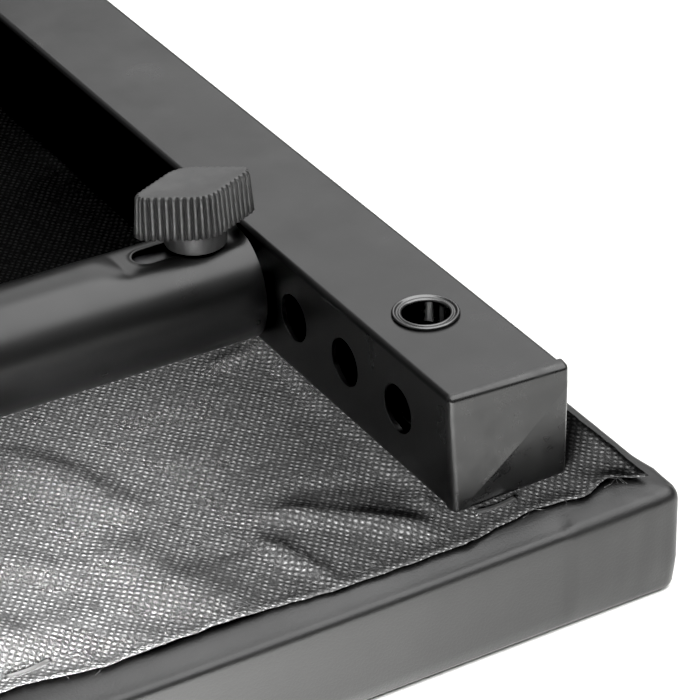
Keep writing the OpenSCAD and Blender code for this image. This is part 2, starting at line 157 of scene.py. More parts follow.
class BenchStage(bpy.types.PropertyGroup):
    """Floor, light and camera."""

    floor: colour("Floor", "Pale studio floor", "#f2f2f0")
    room_low: brightness("Room, low", "Brightness of the room at the horizon", 0.1)
    room_high: brightness("Room, high", "Brightness of the room above the bench", 0.45)
    softbox: brightness("Softbox", "Radiance of the big light overhead", 4.1)
    rake: brightness("Raking light", "Radiance of the low light that skims the dust cover", 760.0)
    pool: brightness("Pool of light", "Radiance of the narrow light on the dust cover's front", 60.0)
    back_card: brightness("Back card", "Radiance of the card that the rails' tops mirror", 1.5)
    floor_glow: brightness("Floor glow", "Radiance of the small light on the floor at the front left", 66.0)
    fill: brightness("Fill", "Radiance of the low light at the front left", 20.0)
    azimuth: bpy.props.FloatProperty(
        name="Azimuth", description="Camera's turn round the bench, 0 looks along +Y",
        default=math.radians(-29.27), subtype="ANGLE")
    elevation: bpy.props.FloatProperty(
        name="Elevation", description="Camera's height above the horizon",
        default=math.radians(31.0), subtype="ANGLE")
    roll: bpy.props.FloatProperty(
        name="Roll", description="Camera's tilt about its own axis",
        default=math.radians(-1.72), subtype="ANGLE")
    distance: bpy.props.FloatProperty(
        name="Distance", description="Camera to the point it looks at", default=0.8463, unit="LENGTH")
    lens: bpy.props.FloatProperty(
        name="Lens", description="Focal length on a 36 mm sensor, in millimetres", default=180.6)


# ---------- small tools ----------

def smooth(low, high, value):
    """0 below low, 1 above high and an even curve between. Takes numbers or arrays."""
    t = np.clip((np.asarray(value, float) - low) / (high - low), 0.0, 1.0)
    return t * t * (3 - 2 * t)


def per(size_mm):
    """Texture scale at which one feature has this size in millimetres."""
    return 1.0 / (size_mm * MM)


def add(tree, kind, values=None, links=None, **settings):
    """Adds a node with its settings, socket values and incoming links."""
    made = tree.nodes.new("ShaderNode" + kind)
    for name, value in settings.items():
        setattr(made, name, value)
    for socket, value in (values or {}).items():
        made.inputs[socket].default_value = value
    for socket, source in (links or {}).items():
        tree.links.new(source, made.inputs[socket])
    return made


class Shape:
    """Vertices and faces gathered from several surfaces."""

    def __init__(self):
        self.vertices = []
        self.faces = []

    def skin(self, rings, closed=True, loop=False, start=False, end=False):
        """Joins rings of equal length.

        closed joins each ring's ends, loop joins the last ring to the first.
        """
        base, count = len(self.vertices), len(rings[0])
        for ring in rings:
            self.vertices.extend(tuple(float(c) for c in point) for point in ring)
        last = len(rings) if loop else len(rings) - 1
        for i in range(last):
            a, b = base + i * count, base + (i + 1) % len(rings) * count
            for j in range(count if closed else count - 1):
                k = (j + 1) % count
                self.faces.append((a + j, a + k, b + k, b + j))
        if start:
            self.faces.append(tuple(range(base + count - 1, base - 1, -1)))
        if end:
            top = base + (len(rings) - 1) * count
            self.faces.append(tuple(range(top, top + count)))


def make_piece(name, shape, body, slot, stands_for=(), crease=None, outward=True):
    """Turns a shape into a shaded piece that rides on a body and wears the finish of its slot."""
    mesh = bpy.data.meshes.new(name)
    mesh.from_pydata(shape.vertices, [], shape.faces)
    if outward:
        solid = bmesh.new()
        solid.from_mesh(mesh)
        bmesh.ops.recalc_face_normals(solid, faces=solid.faces)
        solid.to_mesh(mesh)
        solid.free()
    mesh.validate()
    mesh.shade_smooth()
    if crease is not None:
        mesh.set_sharp_from_angle(angle=math.radians(crease))
    mesh.materials.append(finish(slot))
    piece = bpy.data.objects.new(name, mesh)
    bpy.context.scene.collection.objects.link(piece)
    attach(piece, body)
    if stands_for:
        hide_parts(*stands_for)
    return piece


def light_by(group, piece, state="INCLUDE"):
    """Lists a piece in a group of receivers, as one that the group's lights reach or leave out."""
    receivers = bpy.data.collections[group]
    receivers.objects.link(piece)
    receivers.collection_objects[len(receivers.objects) - 1].light_linking.link_state = state


def dress(name, slot, edge_mm=0.3, segments=2):
    """Gives a frame node its finish and softened edges by modifiers, and leaves its mesh alone."""
    node = frame["nodes"][name]
    for place in node.material_slots:
        place.material = finish(slot)
    weld = node.modifiers.new("weld", "WELD")
    weld.merge_threshold = 0.005 * MM
    flat = node.modifiers.new("flat_faces", "DECIMATE")
    flat.decimate_type = "DISSOLVE"
    flat.angle_limit = math.radians(0.5)
    bevel = node.modifiers.new("soft_edges", "BEVEL")
    bevel.limit_method = "ANGLE"
    bevel.angle_limit = math.radians(32)
    bevel.width = edge_mm * MM
    bevel.segments = segments
    bevel.use_clamp_overlap = True
    bevel.miter_outer = "MITER_ARC"
    even = node.modifiers.new("even_shading", "WEIGHTED_NORMAL")
    even.keep_sharp = True
    return node


def outline(half_x, half_y, radius, along_x, along_y, arc=8):
    """Points round a rectangle with round corners, always the same number, from the middle of a side on."""
    points = []
    corners = ((1, 1, 0), (-1, 1, 90), (-1, -1, 180), (1, -1, 270))
    for index, (sx, sy, turn) in enumerate(corners):
        cx, cy = sx * (half_x - radius), sy * (half_y - radius)
        for step in range(arc + 1):
            angle = math.radians(turn + 90 * step / arc)
            points.append((cx + radius * math.cos(angle), cy + radius * math.sin(angle)))
        next_x, next_y, _ = corners[(index + 1) % 4]
        sides = along_x if index % 2 == 0 else along_y
        start = points[-1]
        angle = math.radians(turn + 90)
        goal_x = next_x * (half_x - radius) + radius * math.cos(angle)
        goal_y = next_y * (half_y - radius) + radius * math.sin(angle)
        for step in range(1, sides):
            t = step / sides
            points.append((start[0] + (goal_x - start[0]) * t, start[1] + (goal_y - start[1]) * t))
    return points


def arc_points(centre, radius, start, end, steps):
    """Points (across, up) on an arc between two angles in degrees."""
    found = []
    for step in range(steps + 1):
        angle = math.radians(start + (end - start) * step / steps)
        found.append((centre[0] + radius * math.cos(angle), centre[1] + radius * math.sin(angle)))
    return found


def turned(profile, centre, steps=64):
    """Rings of a profile of (radius, height) points turned about a vertical axis."""
    circle = [(math.cos(2 * math.pi * i / steps), math.sin(2 * math.pi * i / steps)) for i in range(steps)]
    return [[(centre[0] + r * c, centre[1] + r * s, centre[2] + h) for c, s in circle] for r, h in profile]


def tube_along(shape, path, radius, sides=8, loop=False, ripple=None):
    """Adds a round tube that follows a path. ripple(i) scales the radius at point i."""
    points = [Vector(p) for p in path]
    rings, normal = [], None
    count = len(points)
    for i, point in enumerate(points):
        ahead = points[(i + 1) % count] if loop or i + 1 < count else point
        behind = points[i - 1] if loop or i > 0 else point
        tangent = (ahead - behind).normalized()
        if normal is None:
            normal = tangent.orthogonal().normalized()
        normal = (normal - tangent * normal.dot(tangent)).normalized()
        side = tangent.cross(normal)
        r = radius * (ripple(i) if ripple else 1.0)
        rings.append([point + normal * (r * math.cos(a)) + side * (r * math.sin(a))
                      for a in (2 * math.pi * k / sides for k in range(sides))])
    shape.skin(rings, loop=loop, start=not loop, end=not loop)


# ---------- finishes ----------

def new_material(name, base, roughness, metallic=0.0, ior=None):
    """A node material with a Principled shader, its tree and the object's own coordinates."""
    made = bpy.data.materials.new(name)
    made.use_nodes = True
    tree = made.node_tree
    tree.nodes.clear()
    values = {"Base Color": (*base, 1.0), "Roughness": roughness, "Metallic": metallic}
    if ior is not None:
        values["IOR"] = ior
    shader = add(tree, "BsdfPrincipled", values)
    add(tree, "OutputMaterial", links={"Surface": shader.outputs["BSDF"]})
    place = add(tree, "TexCoord").outputs["Object"]
    return made, tree, shader, place


def colours():
    return bpy.context.scene.bench_colours


def powder_coat():
    """Polyester powder baked on steel: a soft even gloss over a faint orange peel."""
    made, tree, shader, place = new_material("black_powder_coat", colours().powder, 0.3, ior=1.5)
    peel = add(tree, "TexNoise", {"Scale": per(1.6), "Detail": 2.0, "Roughness": 0.4}, {"Vector": place})
    cloudy = add(tree, "TexNoise", {"Scale": per(22), "Detail": 4.0, "Roughness": 0.6}, {"Vector": place})
    gloss = add(tree, "MapRange", {"From Min": 0.3, "From Max": 0.7, "To Min": 0.26, "To Max": 0.36},
                {"Value": cloudy.outputs["Fac"]})
    bump = add(tree, "Bump", {"Strength": 0.25, "Distance": 0.02 * MM}, {"Height": peel.outputs["Fac"]})
    tree.links.new(gloss.outputs["Result"], shader.inputs["Roughness"])
    tree.links.new(bump.outputs["Normal"], shader.inputs["Normal"])
    return made


def upholstery_vinyl():
    """PVC leathercloth with a pressed grain of about 1 mm: satin, and duller in broad patches."""
    made, tree, shader, place = new_material("black_pvc_leathercloth", colours().vinyl, 0.4, ior=1.52)
    grain = add(tree, "TexVoronoi", {"Scale": per(1.1), "Randomness": 0.9}, {"Vector": place},
                feature="DISTANCE_TO_EDGE")
    pores = add(tree, "TexNoise", {"Scale": per(0.5), "Detail": 3.0}, {"Vector": place})
    cells = add(tree, "MapRange", {"From Min": 0.0, "From Max": 0.18}, {"Value": grain.outputs["Distance"]})
    height = add(tree, "Math", {1: 0.35}, {0: pores.outputs["Fac"], 2: cells.outputs["Result"]},
                 operation="MULTIPLY_ADD")
    bump = add(tree, "Bump", {"Strength": 0.3, "Distance": 0.05 * MM}, {"Height": height.outputs["Value"]})
    wiped = add(tree, "TexNoise", {"Scale": per(30), "Detail": 5.0, "Roughness": 0.65}, {"Vector": place})
    gloss = add(tree, "MapRange", {"From Min": 0.3, "From Max": 0.7, "To Min": 0.34, "To Max": 0.47},
                {"Value": wiped.outputs["Fac"]})
    tree.links.new(gloss.outputs["Result"], shader.inputs["Roughness"])
    tree.links.new(bump.outputs["Normal"], shader.inputs["Normal"])
    return made


def dust_cloth():
    """Point-bonded polypropylene non-woven: offset rows of shiny fused dots in a dull mat of fibres, darkened
    in its low gaps as painted shade and paler on its raised dots and strands, partly as painted highlight.
    """
    made, tree, shader, place = new_material("black_nonwoven_cloth", colours().cloth, 0.6, ior=1.49)
    shader.inputs["Specular IOR Level"].default_value = 0.2    # the fibres scatter most of the gloss
    sizes = bpy.context.scene.bench_sizes
    sway = add(tree, "TexNoise", {"Scale": per(9), "Detail": 2.0}, {"Vector": place})
    shift = add(tree, "VectorMath", {1: (-0.5, -0.5, -0.5)}, {0: sway.outputs["Color"]}, operation="ADD")
    moved = add(tree, "VectorMath", {1: (0.9 * MM,) * 3}, {0: shift.outputs["Vector"], 2: place},
                operation="MULTIPLY_ADD")
    # Two sets of slanting waves cross in the dots
    waves = (2 * math.pi / sizes.cloth_dot_across, 2 * math.pi / sizes.cloth_dot_along, 0)
    phase = add(tree, "VectorMath", {1: waves}, {0: moved.outputs["Vector"]}, operation="MULTIPLY")
    turned_by = add(tree, "VectorRotate", {"Angle": math.radians(45)}, {"Vector": phase.outputs["Vector"]},
                    rotation_type="Z_AXIS")
    slant = add(tree, "VectorMath", {"Scale": math.sqrt(2)}, {0: turned_by.outputs["Vector"]},
                operation="SCALE")
    wave = add(tree, "VectorMath", links={0: slant.outputs["Vector"]}, operation="COSINE")
    lifted = add(tree, "VectorMath", {1: (0.5,) * 3, 2: (0.5,) * 3}, {0: wave.outputs["Vector"]},
                 operation="MULTIPLY_ADD")
    rows = add(tree, "SeparateXYZ", links={"Vector": lifted.outputs["Vector"]})
    dots = add(tree, "Math", links={0: rows.outputs["X"], 1: rows.outputs["Y"]}, operation="MULTIPLY")
    # Real fibres are finer than a hair. These strands are about 0.5 mm wide, coarse enough to show
    drawn = add(tree, "Mapping", {"Rotation": (0, 0, math.radians(28)), "Scale": (1.0, 0.3, 1.0)},
                {"Vector": place})
    strands = add(tree, "TexNoise", {"Scale": per(0.55), "Detail": 3.0, "Roughness": 0.75, "Distortion": 1.6},
                  {"Vector": drawn.outputs["Vector"]})
    patch = add(tree, "TexNoise", {"Scale": per(2.4), "Detail": 3.0, "Roughness": 0.65}, {"Vector": place})
    uneven = add(tree, "MapRange", {"From Min": 0.36, "From Max": 0.64, "To Min": 0.1, "To Max": 1.25},
                 {"Value": patch.outputs["Fac"]})
    dot = add(tree, "Math", links={0: dots.outputs["Value"], 1: uneven.outputs["Result"]},
              operation="MULTIPLY", use_clamp=True)
    fuzz = add(tree, "Math", {1: 1.0}, {0: strands.outputs["Fac"], 2: dot.outputs["Value"]},
               operation="MULTIPLY_ADD")
    # Painted shade and highlight: the colour follows the bump's height. It is dark in the low gaps, and pale
    # on the raised dots and strands, where the dots' own paler tone adds to it
    shade_by_height = add(tree, "MapRange", {"From Min": 0.46, "From Max": 1.25}, {"Value": fuzz.outputs["Value"]})
    tint = add(tree, "Mix", {MIX_A: (*colours().cloth, 1), MIX_B: (*colours().cloth_dot, 1)},
               {"Factor": shade_by_height.outputs["Result"]}, data_type="RGBA")
    gloss = add(tree, "MapRange", {"From Min": 0.1, "From Max": 0.9, "To Min": 0.7, "To Max": 0.3},
                {"Value": dot.outputs["Value"]})
    bump = add(tree, "Bump", {"Strength": 1.0, "Distance": 0.4 * MM}, {"Height": fuzz.outputs["Value"]})
    tree.links.new(tint.outputs[MIX_RESULT], shader.inputs["Base Color"])
    tree.links.new(gloss.outputs["Result"], shader.inputs["Roughness"])
    tree.links.new(bump.outputs["Normal"], shader.inputs["Normal"])
    return made


def knob_plastic():
    """Glass-filled nylon from a spark-eroded mould: dull satin with faint rubbed patches."""
    made, tree, shader, place = new_material("moulded_glass_nylon", colours().knob, 0.42, ior=1.53)
    # The mould's spark marks are drawn several times coarser than real ones, so that they show
    spark = add(tree, "TexNoise", {"Scale": per(0.45), "Detail": 3.0}, {"Vector": place})
    rubbed = add(tree, "TexNoise", {"Scale": per(5), "Detail": 5.0, "Roughness": 0.7}, {"Vector": place})
    gloss = add(tree, "MapRange", {"From Min": 0.3, "From Max": 0.7, "To Min": 0.34, "To Max": 0.5},
                {"Value": rubbed.outputs["Fac"]})
    bump = add(tree, "Bump", {"Strength": 0.35, "Distance": 0.04 * MM}, {"Height": spark.outputs["Fac"]})
    tree.links.new(gloss.outputs["Result"], shader.inputs["Roughness"])
    tree.links.new(bump.outputs["Normal"], shader.inputs["Normal"])
    return made


def cap_plastic():
    """Moulded polyethylene, shiny and easily marked: small pale nicks and hazy rubbed patches."""
    made, tree, shader, place = new_material("moulded_polyethylene", colours().cap, 0.3, ior=1.51)
    haze = add(tree, "TexNoise", {"Scale": per(8), "Detail": 5.0, "Roughness": 0.65}, {"Vector": place})
    gloss = add(tree, "MapRange", {"From Min": 0.35, "From Max": 0.65, "To Min": 0.22, "To Max": 0.42},
                {"Value": haze.outputs["Fac"]})
    nick = add(tree, "TexNoise", {"Scale": per(1.3), "Detail": 6.0, "Roughness": 0.8, "Distortion": 0.8},
               {"Vector": place})
    marks = add(tree, "MapRange", {"From Min": 0.66, "From Max": 0.74}, {"Value": nick.outputs["Fac"]})
    scuffed = tuple(c + 0.06 for c in colours().cap)
    tint = add(tree, "Mix", {MIX_A: (*colours().cap, 1), MIX_B: (*scuffed, 1)},
               {"Factor": marks.outputs["Result"]}, data_type="RGBA")
    bump = add(tree, "Bump", {"Strength": 0.3, "Distance": 0.03 * MM}, {"Height": nick.outputs["Fac"]})
    tree.links.new(tint.outputs[MIX_RESULT], shader.inputs["Base Color"])
    tree.links.new(gloss.outputs["Result"], shader.inputs["Roughness"])
    tree.links.new(bump.outputs["Normal"], shader.inputs["Normal"])
    return made


def slider_plastic():
    """Moulded acetal: slippery, with an even waxy gloss."""
    made, tree, shader, place = new_material("moulded_acetal", colours().slider, 0.35, ior=1.48)
    waxy = add(tree, "TexNoise", {"Scale": per(3), "Detail": 3.0}, {"Vector": place})
    gloss = add(tree, "MapRange", {"From Min": 0.3, "From Max": 0.7, "To Min": 0.3, "To Max": 0.42},
                {"Value": waxy.outputs["Fac"]})
    tree.links.new(gloss.outputs["Result"], shader.inputs["Roughness"])
    return made


def nylon():
    """Turned natural nylon: pale, slightly translucent and waxy."""
    made, tree, shader, place = new_material("turned_nylon", colours().nylon, 0.4, ior=1.53)
    shader.inputs["Subsurface Weight"].default_value = 0.2
    shader.inputs["Subsurface Scale"].default_value = 1.0 * MM
    # Lathe marks 1 mm apart, coarser than real ones, so that they show
    lathe = add(tree, "TexWave", {"Scale": per(3.2), "Distortion": 0.4}, {"Vector": place},
                bands_direction="X")
    bump = add(tree, "Bump", {"Strength": 0.2, "Distance": 0.02 * MM}, {"Height": lathe.outputs["Fac"]})
    tree.links.new(bump.outputs["Normal"], shader.inputs["Normal"])
    return made


def foot_rubber():
    """Vulcanised rubber: matt, with a pale dusty bloom in patches."""
    made, tree, shader, place = new_material("vulcanised_rubber", colours().rubber, 0.62, ior=1.52)
    bloom = add(tree, "TexNoise", {"Scale": per(6), "Detail": 6.0, "Roughness": 0.7}, {"Vector": place})
    dusty = tuple(c + 0.02 for c in colours().rubber)
    tint = add(tree, "Mix", {MIX_A: (*colours().rubber, 1), MIX_B: (*dusty, 1)},
               {"Factor": bloom.outputs["Fac"]}, data_type="RGBA")
    skin = add(tree, "TexNoise", {"Scale": per(0.6), "Detail": 2.0}, {"Vector": place})
    bump = add(tree, "Bump", {"Strength": 0.4, "Distance": 0.05 * MM}, {"Height": skin.outputs["Fac"]})
    tree.links.new(tint.outputs[MIX_RESULT], shader.inputs["Base Color"])
    tree.links.new(bump.outputs["Normal"], shader.inputs["Normal"])
    return made


def plated_steel(name, base, low, high, brushed):
    """Steel with a thin metal finish, whose gloss wanders between low and high roughness."""
    made, tree, shader, place = new_material(name, base, low, metallic=1.0)
    cloudy = add(tree, "TexNoise", {"Scale": per(4), "Detail": 5.0, "Roughness": 0.6}, {"Vector": place})
    gloss = add(tree, "MapRange", {"From Min": 0.3, "From Max": 0.7, "To Min": low, "To Max": high},
                {"Value": cloudy.outputs["Fac"]})
    fine = add(tree, "TexNoise", {"Scale": per(0.5), "Detail": 3.0}, {"Vector": place})
    bump = add(tree, "Bump", {"Strength": brushed, "Distance": 0.02 * MM}, {"Height": fine.outputs["Fac"]})
    tree.links.new(gloss.outputs["Result"], shader.inputs["Roughness"])
    tree.links.new(bump.outputs["Normal"], shader.inputs["Normal"])
    return made


def zinc_plated_steel():
    """Bright zinc plate: cool grey metal with a soft cloudy gloss."""
    return plated_steel("zinc_plated_steel", linear("#b4b5b5"), 0.25, 0.42, 0.3)


def black_oxide_steel():
    """Chemically blackened bolts: dark metal with an oily sheen."""
    return plated_steel("black_oxide_steel", linear("#3b3b3b"), 0.3, 0.45, 0.3)


def nickel_eyelet():
    """Black nickel on a rolled eyelet: near-black metal that flashes only on its curves."""
    return plated_steel("black_nickel_plate", linear("#5a5a5a"), 0.16, 0.3, 0.25)


def staple_wire():
    """Galvanised staple wire: small, bright and slightly uneven."""
    return plated_steel("galvanised_wire", linear("#b4b4b4"), 0.25, 0.45, 0.5)


def foam():
    """Open-cell polyurethane foam: a dull yellow mass of tiny pores."""
    made, tree, shader, place = new_material("polyurethane_foam", colours().foam, 0.9, ior=1.45)
    cells = add(tree, "TexVoronoi", {"Scale": per(0.9)}, {"Vector": place})
    bump = add(tree, "Bump", {"Strength": 0.8, "Distance": 0.3 * MM}, {"Height": cells.outputs["Distance"]})
    tree.links.new(bump.outputs["Normal"], shader.inputs["Normal"])
    return made


def plywood():
    """Poplar plywood: pale and dull, with long grain along the board and a broad darker band in its edge."""
    made, tree, shader, place = new_material("poplar_plywood", colours().plywood, 0.62, ior=1.48)
    stretch = add(tree, "VectorMath", {1: (1.0, 0.06, 5.0)}, {0: place}, operation="MULTIPLY")
    grain = add(tree, "TexNoise", {"Scale": per(2.5), "Detail": 6.0, "Roughness": 0.6},
                {"Vector": stretch.outputs["Vector"]})
    plies = add(tree, "TexWave", {"Scale": per(4) / 10, "Distortion": 0.6}, {"Vector": place},
                bands_direction="Z")
    both = add(tree, "Math", links={0: grain.outputs["Fac"], 1: plies.outputs["Fac"]}, operation="MULTIPLY")
    tint = add(tree, "Mix", {MIX_A: (*colours().plywood, 1), MIX_B: (*colours().glue, 1)},
               {"Factor": both.outputs["Value"]}, data_type="RGBA")
    bump = add(tree, "Bump", {"Strength": 0.3, "Distance": 0.1 * MM}, {"Height": grain.outputs["Fac"]})
    tree.links.new(tint.outputs[MIX_RESULT], shader.inputs["Base Color"])
    tree.links.new(bump.outputs["Normal"], shader.inputs["Normal"])
    return made


FINISHES = {
    "powder_coat": powder_coat, "upholstery_vinyl": upholstery_vinyl, "dust_cloth": dust_cloth,
    "knob_plastic": knob_plastic, "cap_plastic": cap_plastic, "slider_plastic": slider_plastic,
    "nylon": nylon, "foot_rubber": foot_rubber, "zinc_plated_steel": zinc_plated_steel,
    "black_oxide_steel": black_oxide_steel, "nickel_eyelet": nickel_eyelet, "staple_wire": staple_wire,
    "foam": foam, "plywood": plywood,
}
finished = {}


def finish(slot):
    """The material of a slot, made the first time it is asked for."""
    if slot not in finished:
        finished[slot] = FINISHES[slot]()
    return finished[slot]


# ---------- seat ----------

PLEAT_START = 129 * MM     # where the vinyl is doubled, measured across from the seat's middle
VINYL_LIP = 24 * MM        # how far the vinyl is turned in over the board
SEAT_CORNER = 4.0 * MM     # radius of the seat's corners, seen from above
SEAT_CORNER_LEAST = 0.6 * MM
SEAT_ALONG_X, SEAT_ALONG_Y = 200, 130    # steps of the seat's mesh along its sides


def seat_rings(section):
    """Rings round the seat for a section of (inset, height) points."""
    half_x, half_y = PAD_HIGH.x, PAD_HIGH.y
    rings = []
    for inset, height in section:
        radius = max(SEAT_CORNER - inset, SEAT_CORNER_LEAST)
        points = outline(half_x - inset, half_y - inset, radius, SEAT_ALONG_X, SEAT_ALONG_Y)
        rings.append([(x, y, height) for x, y in points])
    return rings


def upper_edge(top, lip, depth):
    """Section of the seat's upper edge at a depth under the vinyl's face.

    It starts with the rim, and then slopes up to the lip.
    """
    sizes = bpy.context.scene.bench_sizes
    rim, fall = sizes.vinyl_rim, sizes.vinyl_fall
    section = arc_points((rim, top - fall - rim), rim - depth, 180, 90, 7)
    for t in range(1, 15):
        inset = rim + (lip - rim) * t / 14
        section.append((inset, top - depth - fall * (1 - float(smooth(rim - 1 * MM, 9 * MM, inset)))))
    return section


def push_out(piece, relief):
    """Moves each vertex along its normal and along the seat by the two lengths that relief(point) gives."""
    mesh = piece.data
    normals = [v.normal.copy() for v in mesh.vertices]
    for vertex, normal in zip(mesh.vertices, normals):
        outward, endward = relief(vertex.co)
        vertex.co += normal * outward + Vector((0, math.copysign(endward, vertex.co.y), 0))
    mesh.update()


def vinyl_relief(point):
    """How far the vinyl stands out at a point, and how far the foam crowns the seat's end there.

    The vinyl stands out by its pleats, slack, dimples and the creases pulled into its corners.
    """
    sizes = bpy.context.scene.bench_sizes
    x, y, z = point
    from_side, from_end = PAD_HIGH.x - abs(x), PAD_HIGH.y - abs(y)
    # The relief fades out towards the floor and under the dust cover
    off_floor = float(smooth(3 * MM, 9 * MM, z))
    off_cloth = 1 - float(smooth(2.5 * MM, 7 * MM, min(from_side, from_end)))
    bare = off_floor * off_cloth
    crown = 0.0
    if from_end < 12 * MM:
        bow = max(1 - (x / PAD_HIGH.x) ** 2, 0.0)
        crown = sizes.vinyl_crown * bow * float(smooth(0, 4 * MM, z))
    start = PLEAT_START + 0.35 * from_end
    doubled = float(smooth(start, start + 2.2 * MM, abs(x))) * (1 - float(smooth(12 * MM, 20 * MM, from_end)))
    pleat = sizes.vinyl_pleat * doubled
    slack = noise.noise((x * 26, y * 26, z * 30)) * 0.18 * MM
    dimples = noise.noise((x * 90, y * 90, z * 60 + 5)) * 0.09 * MM
    corner = math.hypot(from_side, from_end)
    creases = math.sin((abs(x) - abs(y)) * 900 + 3 * noise.noise((x * 40, y * 40, z * 40)))
    pulled = 0.14 * MM * creases * math.exp(-(corner / (16 * MM)) ** 2) * bare
    return bare * (pleat + slack + dimples) + pulled, crown


class BENCH_OT_seat_cover(bpy.types.Operator):
    """Builds the vinyl cover, wrapped over the board's edge, and the foam inside it"""

    bl_idname = "bench.seat_cover"
    bl_label = "Seat cover and foam"

    def execute(self, context):
        sizes = context.scene.bench_sizes
        rim, foot = sizes.vinyl_rim, sizes.vinyl_foot
        top = PAD_HIGH.z
        section = [(inset * MM, 0.0) for inset in (120, 70, 30, 12)]
        section += arc_points((foot, foot), foot, 270, 180, 7)
        low_top = top - sizes.vinyl_fall
        section += [(0.0, foot + (low_top - rim - foot) * t / 7) for t in range(1, 7)]
        section += upper_edge(top, VINYL_LIP, 0.0)
        shape = Shape()
        shape.skin(seat_rings(section), start=True)
        cover = make_piece("upholstery_cover", shape, "seat", "upholstery_vinyl", ("vinyl_cover",),
                           outward=False)
        push_out(cover, vinyl_relief)
        light_by("filled", cover)
        layer = cover.modifiers.new("thickness", "SOLIDIFY")
        layer.thickness = 0.8 * MM
        layer.offset = -1.0

        slab_low, slab_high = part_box("foam_pad")
        skin = slab_low.z
        edge = foot - skin
        section = [(skin + inset * MM, skin) for inset in (100, 40, 12)]
        turn = arc_points((edge, edge), edge, 270, 180, 5)
        section += [(skin + inset, skin + height) for inset, height in turn]
        section += [(skin, slab_high.z - 1 * MM), (skin + 1 * MM, slab_high.z), (skin + 30 * MM, slab_high.z)]
        shape = Shape()
        shape.skin(seat_rings(section), start=True, end=True)
        slab = make_piece("foam_slab", shape, "seat", "foam", ("foam_pad",), crease=50)
        return {"FINISHED"}


class BENCH_OT_seat_board(bpy.types.Operator):
    """Builds the plywood board and finishes its tee nuts"""

    bl_idname = "bench.seat_board"
    bl_label = "Seat board"

    def execute(self, context):
        low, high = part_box("seat_board")
        skin = PAD_HIGH.z - high.z
        section = [(skin + inset * MM, low.z) for inset in (100, 40, 0.4)] + [(skin, low.z + 0.4 * MM)]
        section += upper_edge(PAD_HIGH.z, VINYL_LIP, skin) + [(100 * MM, high.z)]
        shape = Shape()
        shape.skin(seat_rings(section), start=True, end=True)
        make_piece("plywood_board", shape, "seat", "plywood", ("seat_board",), crease=50)
        dress("tee_nuts", "zinc_plated_steel", 0.15)
        return {"FINISHED"}


# Folds pressed into the dust cover: start, end, height and half width, in millimetres
CLOTH_FOLDS = (
    ((42, -150), (51, -171), -1.8, 4.0), ((51, -171), (61, -198), -2.2, 4.5),
    ((60, -198), (61, -228), -1.7, 4.0), ((34, -158), (48, -199), 1.4, 6.5),
    ((36, -206), (48, -246), 1.9, 8.0), ((66, -222), (74, -246), 1.5, 2.0),
    ((74, -215), (86, -224), 1.9, 3.2), ((86, -224), (104, -240), 1.7, 3.2),
    ((84, -210), (106, -218), -0.7, 3.4), ((14, -196), (24, -214), 0.9, 5.0),
    ((20, -240), (34, -247), 0.9, 4.0), ((-8, -200), (4, -236), 1.0, 5.0),
    ((92, -150), (109, -147), 1.1, 1.6), ((-60, -180), (-40, -225), 1.0, 5.0),
    ((-86, -200), (-76, -240), -0.8, 4.0), ((-30, -160), (-22, -196), 0.8, 5.0),
    ((-70, -90), (40, -20), 1.2, 7.0), ((60, -100), (20, -10), -0.9, 6.0),
    ((-20, 40), (70, 110), 1.1, 7.0), ((-80, 20), (-40, 120), 0.9, 5.0),
    ((30, 150), (90, 232), 0.9, 5.0), ((-90, 170), (-50, 236), 1.0, 6.0),
)
# Offsets of the dust cover's cut front edge from a straight cut: place across the seat and offset along it,
# in millimetres
CLOTH_EDGE = (
    (-156, 1.0), (-120, -0.5), (-60, 0.8), (-5, 3.0), (14, -0.6), (50, -0.4), (75, -2.2), (107, -2.2),
    (118, 0.2), (128, 1.6), (140, -0.4), (146, 1.8), (150, 1.7), (156, -1.0),
)
CLOTH_REST = 29.0          # height at which the dust cover lies over the board, in millimetres
CLOTH_LIP_RISE = 0.65      # how much higher it lies over the vinyl's lip, in millimetres
CLOTH_LEAST, CLOTH_LEAST_ON_LIP = 28.75 * MM, 29.5 * MM
TUBE_ROOM = 0.25 * MM      # least gap between the dust cover and a cross tube
FIBRE_R = 0.05 * MM        # radius of the loose fibres


